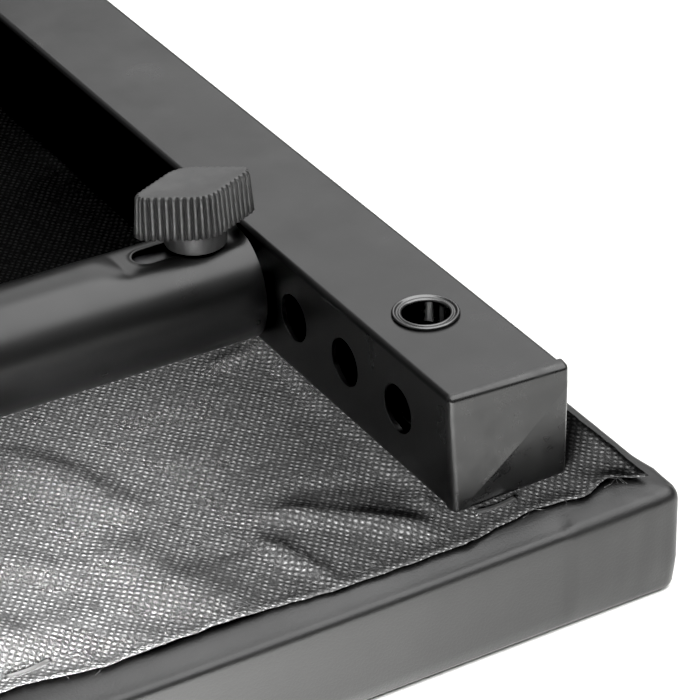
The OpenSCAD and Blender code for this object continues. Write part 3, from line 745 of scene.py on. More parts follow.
def cloth_points(step):
    """Grid of the dust cover's points: across, along and height, as arrays."""
    half_x, half_y = CLOTH_HIGH.x, CLOTH_HIGH.y
    nx, ny = round(2 * half_x / step), round(2 * half_y / step)
    x, y = np.meshgrid(np.linspace(-half_x, half_x, nx + 1), np.linspace(-half_y, half_y, ny + 1))
    inset = np.minimum(half_x - np.abs(x), half_y - np.abs(y))
    rough = np.vectorize(lambda a, b, s: noise.noise((a * s, b * s, 3.3)))
    lip_end = VINYL_LIP - (PAD_HIGH.x - half_x)
    over_lip = 1 - smooth(lip_end, lip_end + 9 * MM, inset)
    z = (CLOTH_REST + CLOTH_LIP_RISE * over_lip) * MM
    loose = rough(x, y, 24.0) * 1.0 + rough(x, y, 60.0) * 0.45 + rough(x * 0.6, y, 140.0) * 0.16
    z = z + MM * loose * smooth(2 * MM, 16 * MM, inset)
    for (x0, y0), (x1, y1), height, width in CLOTH_FOLDS:
        dx, dy = x1 - x0, y1 - y0
        span = math.hypot(dx, dy)
        along = ((x / MM - x0) * dx + (y / MM - y0) * dy) / span
        across = ((x / MM - x0) * dy - (y / MM - y0) * dx) / span
        fade = smooth(-6, 8, along) * (1 - smooth(span - 8, span + 6, along))
        z = z + MM * height * np.exp(-(across / width) ** 2) * fade
    # The rails squeeze the cloth flat, and it puckers beside them
    beside = np.abs(np.abs(x) - RAIL_X) - (RAIL_HIGH.x - RAIL_LOW.x) / 2
    pucker = np.exp(-((beside - 2.6 * MM) / (1.5 * MM)) ** 2) * np.maximum(rough(x, y, 75.0) + 0.15, 0)
    z = z + 2.2 * MM * pucker
    under_rail = 1 - smooth(0.4 * MM, 3.5 * MM, beside)
    ends = smooth(RAIL_HIGH.y + 1 * MM, RAIL_HIGH.y + 7 * MM, np.abs(y))
    under_rail = under_rail * (1 - ends)
    z = z * (1 - under_rail) + (CLOTH_HIGH.z - 0.15 * MM) * under_rail
    # The edges curl up off the vinyl a little, most of all at one spot near each corner
    curl = 1.0 + 0.5 * rough(x, y, 33.0)
    lifted = np.exp(-((np.abs(x) - 147 * MM) / (5 * MM)) ** 2)
    lifted = lifted * np.exp(-((half_y - np.abs(y)) / (5 * MM)) ** 2)
    z = z + MM * curl * np.exp(-(inset / (2.6 * MM)) ** 2) + 1.0 * MM * lifted
    # Cross tubes leave little room above the cloth
    for tube_y in (TUBE_Y, FAR_TUBE_Y):
        away = np.clip(np.abs(y - tube_y) / TUBE_R, 0, 1)
        room = TUBE_Z - TUBE_R * np.sqrt(1 - away ** 2) - TUBE_ROOM
        z = np.where(away < 1, np.minimum(z, room), z)
    z = np.maximum(z, np.where(over_lip > 0.5, CLOTH_LEAST_ON_LIP, CLOTH_LEAST))
    # The cut edge wanders
    across_edge, offsets = zip(*CLOTH_EDGE)
    shift = np.interp(x / MM, across_edge, offsets) + 0.5 * rough(x, y * 0, 300.0)
    near_front = 1 - smooth(0, 34 * MM, y + half_y)
    near_back = 1 - smooth(0, 34 * MM, half_y - y)
    y = y + MM * (shift * near_front - 0.6 * shift[:, ::-1] * near_back)
    near_side = 1 - smooth(0, 14 * MM, half_x - np.abs(x))
    x = x + np.sign(x) * near_side * MM * (rough(y, x * 0, 40.0) * 0.9 + rough(y, x * 0, 300.0) * 0.3 - 0.4)
    return x, y, z


def fibre_shape(x, y, z):
    """Loose fibres that lie on the dust cover, where no rail or tube stands over it."""
    draw = random.Random(SEED)
    fibres = Shape()
    # Some lie anywhere, some in a tuft on one fold, and some along the front edge
    places = [(draw.uniform(-0.15, 0.15), draw.uniform(-0.245, 0.245)) for _ in range(150)]
    places += [(draw.gauss(60, 6) * MM, draw.gauss(-206, 14) * MM) for _ in range(22)]
    places += [(draw.uniform(0, 154) * MM, draw.gauss(-247, 1) * MM) for _ in range(40)]
    for px, py in places:
        under_rail = abs(abs(px) - RAIL_X) < 17 * MM and abs(py) < RAIL_HIGH.y + 3 * MM
        under_tube = min(abs(py - TUBE_Y), abs(py - FAR_TUBE_Y)) < 6 * MM
        off_cloth = abs(px) > 0.153 or abs(py) > 0.249
        if under_rail or under_tube or off_cloth:
            continue
        row = int(np.argmin(np.abs(y[:, 0] - py)))
        column = int(np.argmin(np.abs(x[row] - px)))
        ground = z[row][column]
        heading = draw.uniform(0, 2 * math.pi)
        step = draw.uniform(0.5, 1.1) * MM
        point = Vector((px, py, ground + 0.1 * MM))
        path = [point.copy()]
        for k in range(7):
            heading += draw.gauss(0, 0.45)
            point = point + Vector((math.cos(heading) * step, math.sin(heading) * step, 0))
            point.z = ground + (0.15 + 0.35 * math.sin(math.pi * (k + 1) / 8)) * MM
            path.append(point.copy())
        tube_along(fibres, path, FIBRE_R, sides=4)
    return fibres


class BENCH_OT_dust_cover(bpy.types.Operator):
    """Builds the wrinkled dust cover with its stray fibres"""

    bl_idname = "bench.dust_cover"
    bl_label = "Dust cover"

    def execute(self, context):
        x, y, z = cloth_points(context.scene.bench_sizes.cloth_step)
        rows = [list(zip(x[i], y[i], z[i])) for i in range(len(x))]
        shape = Shape()
        shape.skin(rows, closed=False)
        cover = make_piece("dust_sheet", shape, "seat", "dust_cloth", ("dust_cover",), outward=False)
        layer = cover.modifiers.new("thickness", "SOLIDIFY")
        layer.thickness = 0.2 * MM
        layer.offset = -1.0
        loose = make_piece("loose_fibres", fibre_shape(x, y, z), "seat", "dust_cloth")
        for piece in (cover, loose):
            light_by("skimmed", piece)
            light_by("shaded", piece, "EXCLUDE")
        return {"FINISHED"}


STAPLE_REACH = 14 * MM     # points of one staple lie closer together than this
STAPLE_HALF_WIDE, STAPLE_HALF_THICK = 0.6 * MM, 0.25 * MM
STAPLE_BEND = 0.7 * MM
STAPLE_LEG = 1.6 * MM
STAPLE_SUNK = 0.3 * MM
STAPLE_SAG = 0.55 * MM     # how far the crown's middle is pressed below its ends


def staple_crowns():
    """Middle, size and lowest height of each staple, read from the frame's staple solids."""
    node = frame["nodes"]["dust_cover_staples"]
    points = np.array([v.co for v in node.data.vertices])
    found = []
    for point in points:
        for group in found:
            if np.linalg.norm(point - group[0]) < STAPLE_REACH:
                group.append(point)
                break
        else:
            found.append([point])
    crowns = []
    for group in found:
        low, high = np.min(group, axis=0), np.max(group, axis=0)
        crowns.append(((low + high) / 2, (high - low), low[2]))
    return crowns


class BENCH_OT_staples(bpy.types.Operator):
    """Builds the staples that hold the dust cover"""

    bl_idname = "bench.staples"
    bl_label = "Staples"

    def execute(self, context):
        draw = random.Random(SEED + 1)
        shape = Shape()
        for middle, size, foot in staple_crowns():
            across = size[0] > size[1]
            half = max(size[0], size[1]) / 2
            turn = draw.gauss(0, 0.05) + (0 if across else math.pi / 2)
            along = Vector((math.cos(turn), math.sin(turn), 0))
            side = Vector((-along.y, along.x, 0))
            bend = STAPLE_BEND
            path = [(-half, -STAPLE_LEG)]
            path += [(-half + bend + bend * math.cos(a), bend * math.sin(a) - STAPLE_SUNK)
                     for a in np.linspace(math.pi, math.pi / 2, 5)]
            other_end = [(-p[0], p[1]) for p in reversed(path)]
            path += [(half * t / 6, path[-1][1]) for t in range(-4, 5)] + other_end
            rings = []
            for u, v in path:
                sag = STAPLE_SAG * (1 - (u / half) ** 2)
                centre = Vector((middle[0], middle[1], foot)) + along * u + Vector((0, 0, v - sag))
                # The wire's broad face turns from up, on the crown, to outward, on the legs
                bent = float(smooth(half - bend, half, abs(u)))
                up = Vector((0, 0, 1)) * (1 - bent) + along * math.copysign(bent, u)
                face = up.normalized()
                rings.append([centre + side * (STAPLE_HALF_WIDE * a) + face * (STAPLE_HALF_THICK * b)
                              for a, b in ((1, 0.3), (0.8, 1), (-0.8, 1), (-1, 0.3), (-1, -1), (1, -1))])
            shape.skin(rings, start=True, end=True)
        make_piece("cover_staples", shape, "seat", "staple_wire", ("dust_cover_staples",), crease=40)
        return {"FINISHED"}


# ---------- rails ----------

class BENCH_OT_rails(bpy.types.Operator):
    """Finishes the rails with their bolts, washers and keepers"""

    bl_idname = "bench.rails"
    bl_label = "Rails and keepers"

    def execute(self, context):
        edge = context.scene.bench_sizes.tube_edge / MM
        for side in ("right", "left"):
            dress(f"rail_{side}", "powder_coat", edge)
            dress(f"keeper_{side}", "powder_coat", edge)
        dress("rail_bolts", "black_oxide_steel", 0.3)
        dress("rail_washers", "zinc_plated_steel", 0.15)
        dress("keeper_rivets", "zinc_plated_steel", 0.1)
        return {"FINISHED"}


RIDGE_HEAD = 5 * MM        # the cap's ridge meets its side this far below the corner
RIDGE_BOW = 0.9 * MM       # how far the ridge bows off a straight line
CAP_CORNER = 1.4 * MM      # radius of the cap's corners
CAP_RISE = 1.6 * MM        # how far the facets fall from the ridge to the far corners
CAP_SKIRT = 0.5 * MM       # height of the cap's straight rim


def cap_lines(count=56, fine=6, rim=0.05):
    """Places from 0 to 1 across the cap's face, close together on its rounded rim."""
    edge = [rim * i / fine for i in range(fine)]
    middle = [rim + (1 - 2 * rim) * i / count for i in range(count + 1)]
    return edge + middle + [1 - t for t in reversed(edge)]


def cap_corner_point(u, v, half_w, half_h):
    """Place on the rounded rectangle for a point of a plain one.

    Its corner cells are turned into quarter discs.
    """
    a, b = abs(u) - (half_w - CAP_CORNER), abs(v) - (half_h - CAP_CORNER)
    if a > 0 and b > 0:
        reach = max(a, b) / math.hypot(a, b)
        u = math.copysign(half_w - CAP_CORNER + a * reach, u)
        v = math.copysign(half_h - CAP_CORNER + b * reach, v)
    return (u, v)


def cap_height(u, v, ridge_u, half_w, half_h, plate, rim):
    """Height of the cap's face: two flat facets that meet in a diagonal ridge, inside a rounded rim."""
    tall = 2 * half_h - RIDGE_HEAD
    off = abs(u - ridge_u) * tall / math.hypot(tall, 2 * half_w)
    face = plate - CAP_RISE * off / (half_w * math.sqrt(2))
    a, b = abs(u) - (half_w - CAP_CORNER), abs(v) - (half_h - CAP_CORNER)
    inside = CAP_CORNER - math.hypot(a, b) if a > 0 and b > 0 else min(half_w - abs(u), half_h - abs(v))
    t = min(max(inside / rim, 0.0), 1.0)
    return CAP_SKIRT + (face - CAP_SKIRT) * math.sqrt(1 - (1 - t) ** 2)


def rail_cap(shape, centre, turned_round, sizes, plate):
    """Adds one end cap: a folded face on a rounded plate, and the ribbed plug inside the rail.

    Returns the vertices along the fold.
    """
    half_w = (CAP_HIGH.x - CAP_LOW.x) / 2
    half_h = (CAP_HIGH.z - CAP_LOW.z) / 2
    sign = -1 if turned_round else 1

    def place(u, v, out):
        return (centre[0] + sign * u, centre[1] - sign * out, centre[2] + v)

    lines = cap_lines()
    count = len(lines)
    low_part = 2 * half_h - RIDGE_HEAD
    heights = [(-half_h + t * low_part, t) for t in lines]
    above_ridge = [0.25, 0.5] + [0.68 + 0.04 * i for i in range(9)]
    heights += [(half_h - RIDGE_HEAD * (1 - t), 1.0) for t in above_ridge]
    rows = []
    for v, t in heights:
        ridge_u = -half_w + 2 * half_w * t + RIDGE_BOW * math.sin(math.pi * t)
        row = []
        for line in lines:
            if line <= t:
                u = -half_w + (ridge_u + half_w) * (line / t if t > 0 else 1.0)
            else:
                u = ridge_u + (half_w - ridge_u) * (line - t) / (1 - t)
            a, b = cap_corner_point(u, v, half_w, half_h)
            row.append(place(a, b, cap_height(a, b, ridge_u, half_w, half_h, plate, sizes.cap_rim)))
        rows.append(row)
    base = len(shape.vertices)
    for row in rows:
        shape.vertices.extend(row)
    for j in range(len(rows) - 1):
        for i in range(count - 1):
            a = base + j * count + i
            b, c, d = a + 1, a + count + 1, a + count
            shape.faces.extend([(a, b, c), (a, c, d)] if i == j else [(a, b, c, d)])
    last = len(rows) - 1
    border = [base + i for i in range(count)]
    border += [base + count * j + count - 1 for j in range(1, last + 1)]
    border += [base + count * last + i for i in range(count - 2, -1, -1)]
    border += [base + count * j for j in range(last - 1, 0, -1)]
    skirt = len(shape.vertices)
    for index in border:
        x, _, z = shape.vertices[index]
        shape.vertices.append((x, centre[1], z))
    total = len(border)
    for i in range(total):
        k = (i + 1) % total
        shape.faces.append((border[i], border[k], skirt + k, skirt + i))
    shape.faces.append(tuple(range(skirt, skirt + total)))

    wall = 2.1 * MM
    plug_w, plug_h = half_w - wall, half_h - wall
    # How far the plug's side stands out, and the depth inside the rail there, in millimetres
    ribs = [(0.0, 0.0), (0.0, 3.0), (0.5, 3.6), (0.5, 4.2), (0.0, 5.2), (0.0, 6.6), (0.5, 7.2), (0.5, 7.8),
            (0.0, 8.8), (-0.3, 13.5), (-0.8, 14.0), (-2.0, 14.0), (-2.0, 0.2)]
    rings = []
    for out, depth in ribs:
        grow = (out - 0.45) * MM
        points = outline(plug_w + grow, plug_h + grow, 0.8 * MM, 4, 4, arc=3)
        rings.append([place(a, b, -depth * MM) for a, b in points])
    shape.skin(rings, start=True, end=True)
    return [base + i * count + i for i in range(3, count - 3)]


class BENCH_OT_rail_caps(bpy.types.Operator):
    """Builds the four plastic end caps of the rails"""

    bl_idname = "bench.rail_caps"
    bl_label = "Rail end caps"

    def execute(self, context):
        sizes = context.scene.bench_sizes
        for side, sign in (("right", 1), ("left", -1)):
            for end, far in (("near", False), ("far", True)):
                node = f"rail_cap_{side}_{end}"
                low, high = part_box(node)
                seam = RAIL_HIGH.y if far else RAIL_LOW.y
                plate = abs((high.y if far else low.y) - seam)
                centre = (sign * RAIL_X, seam, (low.z + high.z) / 2)
                shape = Shape()
                fold = set(rail_cap(shape, centre, far, sizes, plate))
                cap = make_piece(f"end_cap_{side}_{end}", shape, "seat", "cap_plastic", (node,), crease=50)
                for edge in cap.data.edges:
                    if edge.vertices[0] in fold and edge.vertices[1] in fold:
                        edge.use_edge_sharp = True
        return {"FINISHED"}


EYELET_LIP, EYELET_BORE = 8.25, 5.65    # radii of an eyelet's outer lip and of its bore, in millimetres


def bolt_centres():
    """Middle of each rail bolt on top of the rails, read from the eyelets' box."""
    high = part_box("rail_eyelets")[1]
    return [(x * RAIL_X, y * (high.y - EYELET_LIP * MM)) for x in RIGHT_LEFT for y in RIGHT_LEFT]


class BENCH_OT_eyelets(bpy.types.Operator):
    """Builds the rolled eyelets that line the rails' bolt holes"""

    bl_idname = "bench.eyelets"
    bl_label = "Rail eyelets"

    def execute(self, context):
        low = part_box("rail_eyelets")[0]
        lip, bore, depth = EYELET_LIP, EYELET_BORE, (RAIL_HIGH.z - low.z) / MM
        roll = arc_points((lip - 0.55, 0.25), 0.55, -60, 150, 9)
        dish = [(lip - 1.25, 0.42), (lip - 1.55, 0.42)]
        mouth = arc_points((bore + 0.75, -0.15), 0.75, 75, 180, 8)
        barrel = [(bore, -0.5 - (depth - 0.5) * t / 4) for t in range(0, 5)]
        back = [(bore + 0.9, -depth), (bore + 0.9, -0.3)]
        profile = [(r * MM, h * MM) for r, h in roll + dish + mouth + barrel + back]
        for index, (x, y) in enumerate(bolt_centres()):
            shape = Shape()
            shape.skin(turned(profile, (x, y, RAIL_HIGH.z), 72), loop=True)
            stands_for = ("rail_eyelets",) if index == 0 else ()
            make_piece(f"eyelet_{index + 1}", shape, "seat", "nickel_eyelet", stands_for, crease=50)
        return {"FINISHED"}


# ---------- cross tubes, legs and feet ----------

FLAT_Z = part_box("knob_right")[0].z - 0.1 * MM
STUD_X = (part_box("knob_stud_right")[0].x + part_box("knob_stud_right")[1].x) / 2
LOCK_TRAVEL = 13 * MM
SLOT_HALF = 3.5 * MM
SLOT_PLAY = 0.6 * MM
SLOT_OUT = STUD_X + SLOT_PLAY
SLOT_IN = STUD_X - LOCK_TRAVEL - SLOT_PLAY
SLOT_LIP = 1.3             # width of the pressed lip round a slot, in millimetres
PATCH_PAST_SLOT = 9 * MM   # how far the finely meshed patch reaches past the centres of a slot's round ends


def tube_point(x, arc):
    """Point of the near cross tube's skin: x across, arc measured round it from its top."""
    angle = arc / TUBE_R
    y, z = TUBE_R * math.sin(angle), TUBE_R * math.cos(angle)
    middle = (SLOT_IN + SLOT_OUT) / 2
    reach = abs(abs(x) - middle) - (SLOT_OUT - SLOT_IN) / 2
    pressed = 1 - float(smooth(7.5 * MM, 11.5 * MM, reach))
    flat = FLAT_Z - TUBE_Z
    if z > 0 and pressed > 0:
        # An even blend between the round tube and the pressed flat
        soft = 1.0 * MM
        low = 0.5 * (z + flat - math.sqrt((z - flat) ** 2 + soft * soft))
        z = z + (low - z) * pressed
    return Vector((x, TUBE_Y + y, TUBE_Z + z))


def slot_patch(shape, side, x_lines, arc_lines):
    """Adds the skin between the slot and the edge of its patch, with the pressed lip round the slot."""
    border = [(x, arc_lines[0]) for x in x_lines]
    border += [(x_lines[-1], s) for s in arc_lines[1:]]
    border += [(x, arc_lines[-1]) for x in reversed(x_lines[:-1])]
    border += [(x_lines[0], s) for s in reversed(arc_lines[1:-1])]
    centre_in, centre_out = sorted((side * SLOT_IN, side * SLOT_OUT))

    def beside_slot(x, s, out):
        """Point on the unrolled skin, out millimetres from the slot's edge towards a point of the border."""
        cx = min(max(x, centre_in), centre_out)
        way = Vector((x - cx, s)).normalized()
        return Vector((cx, 0)) + way * (SLOT_HALF + out * MM)

    rings = []
    # Distance from the slot's edge and height of the lip there, in millimetres
    for out, rise in ((0.0, -0.45), (0.05, -0.12), (0.22, 0.10), (0.5, 0.18), (0.85, 0.10), (SLOT_LIP, 0.0)):
        ring = []
        for x, s in border:
            q = beside_slot(x, s, out)
            ring.append(tube_point(q.x, q.y) + Vector((0, 0, rise * MM)))
        rings.append(ring)
    for t in (0.1, 0.22, 0.4, 0.62, 0.82, 1.0):
        ring = []
        for x, s in border:
            q = beside_slot(x, s, SLOT_LIP).lerp(Vector((x, s)), t)
            ring.append(tube_point(q.x, q.y))
        rings.append(ring)
    shape.skin(rings)


def cross_tube_shape():
    """Skin of the near cross tube with its two pressed and slotted flats."""
    shape = Shape()
    half = TUBE_HIGH.x
    round_steps = 96
    arcs = [2 * math.pi * TUBE_R * (i / round_steps - 0.5) for i in range(round_steps + 1)]
    patch_half = 8
    middle_row = round_steps // 2
    arc_lines = arcs[middle_row - patch_half:middle_row + patch_half + 1]
    x_in, x_out = SLOT_IN - PATCH_PAST_SLOT, SLOT_OUT + PATCH_PAST_SLOT
    patch_x = list(np.linspace(x_in, x_out, 27))
    outer = [x_out + (half - x_out) * t for t in (0.5, 0.85, 0.97, 1.0)]
    inner = list(np.linspace(0, x_in, 16))[:-1]
    right = inner + patch_x + outer
    xs = [-x for x in reversed(right[1:])] + right
    index = {}
    for i, x in enumerate(xs):
        for j in range(round_steps):
            index[i, j] = len(shape.vertices)
            shape.vertices.append(tuple(tube_point(x, arcs[j])))
    low_row, high_row = middle_row - patch_half, middle_row + patch_half
    for i in range(len(xs) - 1):
        mid = abs((xs[i] + xs[i + 1]) / 2)
        for j in range(round_steps):
            if x_in < mid < x_out and low_row <= j < high_row:
                continue
            k = (j + 1) % round_steps
            shape.faces.append((index[i, j], index[i + 1, j], index[i + 1, k], index[i, k]))
    for side in RIGHT_LEFT:
        x_lines = patch_x if side > 0 else [-x for x in reversed(patch_x)]
        slot_patch(shape, side, x_lines, arc_lines)
    return shape


def close_seams(piece):
    """Joins doubled points and turns all faces outwards, judged by the lowest one."""
    solid = bmesh.new()
    solid.from_mesh(piece.data)
    bmesh.ops.remove_doubles(solid, verts=solid.verts, dist=0.002 * MM)
    bmesh.ops.recalc_face_normals(solid, faces=solid.faces)
    lowest = min(solid.faces, key=lambda f: f.calc_center_median().z)
    if lowest.normal.z > 0:
        bmesh.ops.reverse_faces(solid, faces=solid.faces)
    solid.to_mesh(piece.data)
    solid.free()
    piece.data.shade_smooth()


class BENCH_OT_cross_tubes(bpy.types.Operator):
    """Builds the slotted near cross tube and finishes the far one with its plugs"""

    bl_idname = "bench.cross_tubes"
    bl_label = "Cross tubes"

    def execute(self, context):
        tube = make_piece("slotted_cross_tube", cross_tube_shape(), "near_legs", "powder_coat",
                          ("near_cross_tube",), outward=False)
        close_seams(tube)
        wall = tube.modifiers.new("wall", "SOLIDIFY")
        wall.thickness = 1.5 * MM
        wall.offset = -1.0
        wall.use_even_offset = True
        edge = tube.modifiers.new("cut_edges", "BEVEL")
        edge.limit_method = "ANGLE"
        edge.angle_limit = math.radians(50)
        edge.width = 0.25 * MM
        edge.segments = 2
        dress("far_cross_tube", "powder_coat", 0.3)
        for side in ("right", "left"):
            dress(f"far_tube_plug_{side}", "cap_plastic", 0.6, 3)
        return {"FINISHED"}


LEG_HALF = 15 * MM
LEG_WALL_CORNER = 2.0 * MM


def leg_frame(leg):
    """Both ends of a leg's middle line, on its cross tube and on its foot tube, and the direction between."""
    low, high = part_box(leg)
    x = (low.x + high.x) / 2
    tube_y = TUBE_Y if leg == "near_leg" else FAR_TUBE_Y
    foot_low, foot_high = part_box("near_foot_tube" if leg == "near_leg" else "far_foot_tube")
    start = Vector((x, tube_y, TUBE_Z))
    goal = Vector((x, (foot_low.y + foot_high.y) / 2, (foot_low.z + foot_high.z) / 2))
    return start, goal, (goal - start).normalized()


def weld_paths(leg):
    """Closed paths of a leg's two welds, on its round cross tube and on its square foot tube."""
    start, goal, up = leg_frame(leg)
    across = Vector((1, 0, 0))
    front = up.cross(across)
    half = LEG_HALF
    ring = outline(half, half, LEG_WALL_CORNER, 14, 14, arc=4)
    low_path, high_path = [], []
    for a, b in ring:
        # On the round tube: slide down the leg until the point is on the tube's skin
        reach = math.sqrt(max(TUBE_R ** 2 - b ** 2, (2 * MM) ** 2))
        low_path.append(start + across * a + front * b + up * (reach + 0.3 * MM))
        # On the square tube: slide until the point meets the nearer of its two faces
        point = start + across * a + front * b
        to_flat = (goal.z - half - point.z) / up.z
        to_side = ((goal.y - math.copysign(half, up.y)) - point.y) / up.y
        high_path.append(point + up * (max(to_flat, to_side) if to_side < (goal - start).length else to_flat))
    return low_path, high_path


class BENCH_OT_legs(bpy.types.Operator):
    """Finishes the crossed legs, foot tubes and pivot, and adds the weld beads"""

    bl_idname = "bench.legs"
    bl_label = "Legs, pivot and welds"

    def execute(self, context):
        sizes = context.scene.bench_sizes
        edge = sizes.tube_edge / MM
        for node in ("near_leg", "far_leg", "near_foot_tube", "far_foot_tube"):
            dress(node, "powder_coat", edge)
        dress("pivot_sleeve", "powder_coat", 0.2)
        for node in ("pivot_bolt", "pivot_nut"):
            dress(node, "zinc_plated_steel", 0.4, 3)
        dress("pivot_washers", "zinc_plated_steel", 0.2)
        for node in ("pivot_spacer", "pivot_bush"):
            dress(node, "nylon", 0.2)
        draw = random.Random(SEED + 2)
        for leg, body in (("near_leg", "near_legs"), ("far_leg", "far_legs")):
            shape = Shape()
            for path in weld_paths(leg):
                swell = [1 + 0.16 * math.cos(i * 2.1) + draw.uniform(-0.07, 0.07) for i in range(len(path))]
                tube_along(shape, path, sizes.weld_bead, sides=10, loop=True, ripple=lambda i: swell[i])
            make_piece(f"{leg}_welds", shape, body, "powder_coat")
        return {"FINISHED"}


class BENCH_OT_feet(bpy.types.Operator):
    """Builds the four ribbed rubber foot caps"""

    bl_idname = "bench.feet"
    bl_label = "Foot caps"

    def execute(self, context):
        for pair in ("near", "far"):
            for side, sign in (("right", 1), ("left", -1)):
                node = f"{pair}_foot_cap_{side}"
                low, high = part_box(node)
                y, z = (low.y + high.y) / 2, (low.z + high.z) / 2
                half, end = (high.z - low.z) / 2, max(abs(low.x), abs(high.x))
                open_end = min(abs(low.x), abs(high.x))
                wall, groove_deep, nose = 3 * MM, 0.7 * MM, 2 * MM
                section = [(end - wall, half - wall), (open_end + 1 * MM, half - wall),
                           (open_end, half - wall + 0.4 * MM), (open_end, half - 0.8 * MM),
                           (open_end + 0.8 * MM, half)]
                for rib in range(4):
                    groove = open_end + (6 + 5 * rib) * MM
                    section += [(groove, half), (groove + 0.5 * MM, half - groove_deep),
                                (groove + 1.5 * MM, half - groove_deep), (groove + 2 * MM, half)]
                section += [(end - nose + nose * math.sin(math.radians(a)),
                             half - nose + nose * math.cos(math.radians(a))) for a in range(0, 91, 18)]
                section += [(end - 0.5 * MM, half - 5 * MM), (end - 0.5 * MM, half - 8 * MM),
                            (end, half - 8.8 * MM)]
                rings = []
                for x, reach in section:
                    corner = 4 * MM if reach > half - 2.4 * MM else 2 * MM
                    points = outline(reach, reach, corner, 6, 6, arc=6)
                    rings.append([(sign * x, y + a, z + b) for a, b in points])
                shape = Shape()
                shape.skin(rings, start=True, end=True)
                make_piece(f"{pair}_foot_boot_{side}", shape, f"{pair}_legs", "foot_rubber", (node,),
                           crease=50)
        return {"FINISHED"}


# ---------- pin lock and wing knob ----------

KNOB_LOW, KNOB_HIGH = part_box("knob_right")
HUB_R, TIP_R = (KNOB_HIGH.y - KNOB_LOW.y) / 2, 3.5 * MM
TIP_X = (KNOB_HIGH.x - KNOB_LOW.x) / 2 - TIP_R
FLUTES_PER_QUARTER = 11
FLUTE_STEPS = 12
KNOB_TURN = -3.0           # degrees that the knobs happen to be turned from square


def knob_quarter(distance, sink):
    """Point at a distance along a quarter of the knob's outline, from a wing's tip to the hub's side."""
    psi = math.acos((HUB_R - TIP_R) / TIP_X)
    tip_arc, line = TIP_R * psi, TIP_X * math.sin(psi)
    if distance < tip_arc:
        angle = distance / TIP_R
        return TIP_X + (TIP_R - sink) * math.cos(angle), (TIP_R - sink) * math.sin(angle)
    if distance < tip_arc + line:
        t = distance - tip_arc
        return (TIP_X + (TIP_R - sink) * math.cos(psi) - t * math.sin(psi),
                (TIP_R - sink) * math.sin(psi) + t * math.cos(psi))
    angle = psi + (distance - tip_arc - line) / HUB_R
    return (HUB_R - sink) * math.cos(angle), (HUB_R - sink) * math.sin(angle)


def knob_ring(sink, flute):
    """Outline of the knob, sunk evenly by sink and in its flutes by flute besides."""
    psi = math.acos((HUB_R - TIP_R) / TIP_X)
    quarter = TIP_R * psi + TIP_X * math.sin(psi) + HUB_R * (math.pi / 2 - psi)
    steps = FLUTES_PER_QUARTER * FLUTE_STEPS
    points = []
    for flip_x, flip_y in ((1, 1), (-1, 1), (-1, -1), (1, -1)):
        for i in range(steps):
            t = i / steps if flip_x * flip_y > 0 else 1 - i / steps
            groove = (0.5 - 0.5 * math.cos(2 * math.pi * FLUTES_PER_QUARTER * i / steps)) ** 2.4
            x, y = knob_quarter(t * quarter, sink + flute * groove)
            points.append((flip_x * x, flip_y * y))
    return points


def knob_shape(centre, low, high, sizes):
    """Skin of a wing knob: smooth boss, fluted grip with round rib ends, and a flat top."""
    shape = Shape()
    turn = math.radians(KNOB_TURN)
    grip_low = low + 5.0 * MM
    height = high - grip_low
    draw = random.Random(SEED + 3)
    depth, draft, dome = sizes.knob_flute, sizes.knob_draft, 1.4 * MM
    # height, inset and flute depth of each ring of the grip
    levels = [(0.0, 3.0 * MM, 0.0), (0.0, 1.2 * MM, 0.0), (0.0, 0.35 * MM, depth * 0.9),
              (0.3 * MM, 0.0, depth)]
    levels += [((height - dome) * t / 4, draft * t / 4, depth) for t in range(1, 5)]
    levels += [(height - dome + dome * math.sin(a), draft + dome * (1 - math.cos(a)) * 0.75,
                depth * max(math.cos(a), 0.0) ** 0.5) for a in np.linspace(0.26, math.pi / 2, 6)]
    levels += [(height, draft + 1.7 * MM, 0.0), (height - 0.08 * MM, draft + 2.4 * MM, 0.0)]
    rings = []
    for rise, sink, flute in levels:
        ring = []
        for x, y in knob_ring(min(sink, 2.9 * MM), flute):
            ring.append((centre[0] + x * math.cos(turn) - y * math.sin(turn),
                         centre[1] + x * math.sin(turn) + y * math.cos(turn), grip_low + rise))
        rings.append(ring)
    # Small nicks on the ribs
    for _ in range(16):
        level, spot = draw.randint(3, 7), draw.randrange(len(rings[0]))
        for k in range(-2, 3):
            x, y, z = rings[level][(spot + k) % len(rings[0])]
            out = Vector((x - centre[0], y - centre[1])).normalized() * draw.uniform(-0.12, 0.16) * MM
            rings[level][(spot + k) % len(rings[0])] = (x + out.x, y + out.y, z)
    shape.skin(rings, start=True, end=True)
    # Radius and height of the boss, in millimetres
    boss = [(3.0, 0.0), (7.4, 0.0)] + arc_points((7.4, 0.5), 0.5, -90, 0, 4) + [(7.95, 2.5), (8.0, 5.4)]
    boss = [(r * MM, h * MM) for r, h in boss]
    shape.skin(turned(boss, (centre[0], centre[1], low), 72), start=True, end=True)
    return shape


class BENCH_OT_knobs(bpy.types.Operator):
    """Builds the two wing knobs"""

    bl_idname = "bench.knobs"
    bl_label = "Wing knobs"

    def execute(self, context):
        for side in ("right", "left"):
            low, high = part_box(f"knob_{side}")
            centre = ((low.x + high.x) / 2, (low.y + high.y) / 2)
            shape = knob_shape(centre, low.z, high.z, context.scene.bench_sizes)
            node = f"knob_{side}"
            knob = make_piece(f"wing_knob_{side}", shape, node, "knob_plastic", (node,), crease=75)
            light_by("filled", knob)
        return {"FINISHED"}


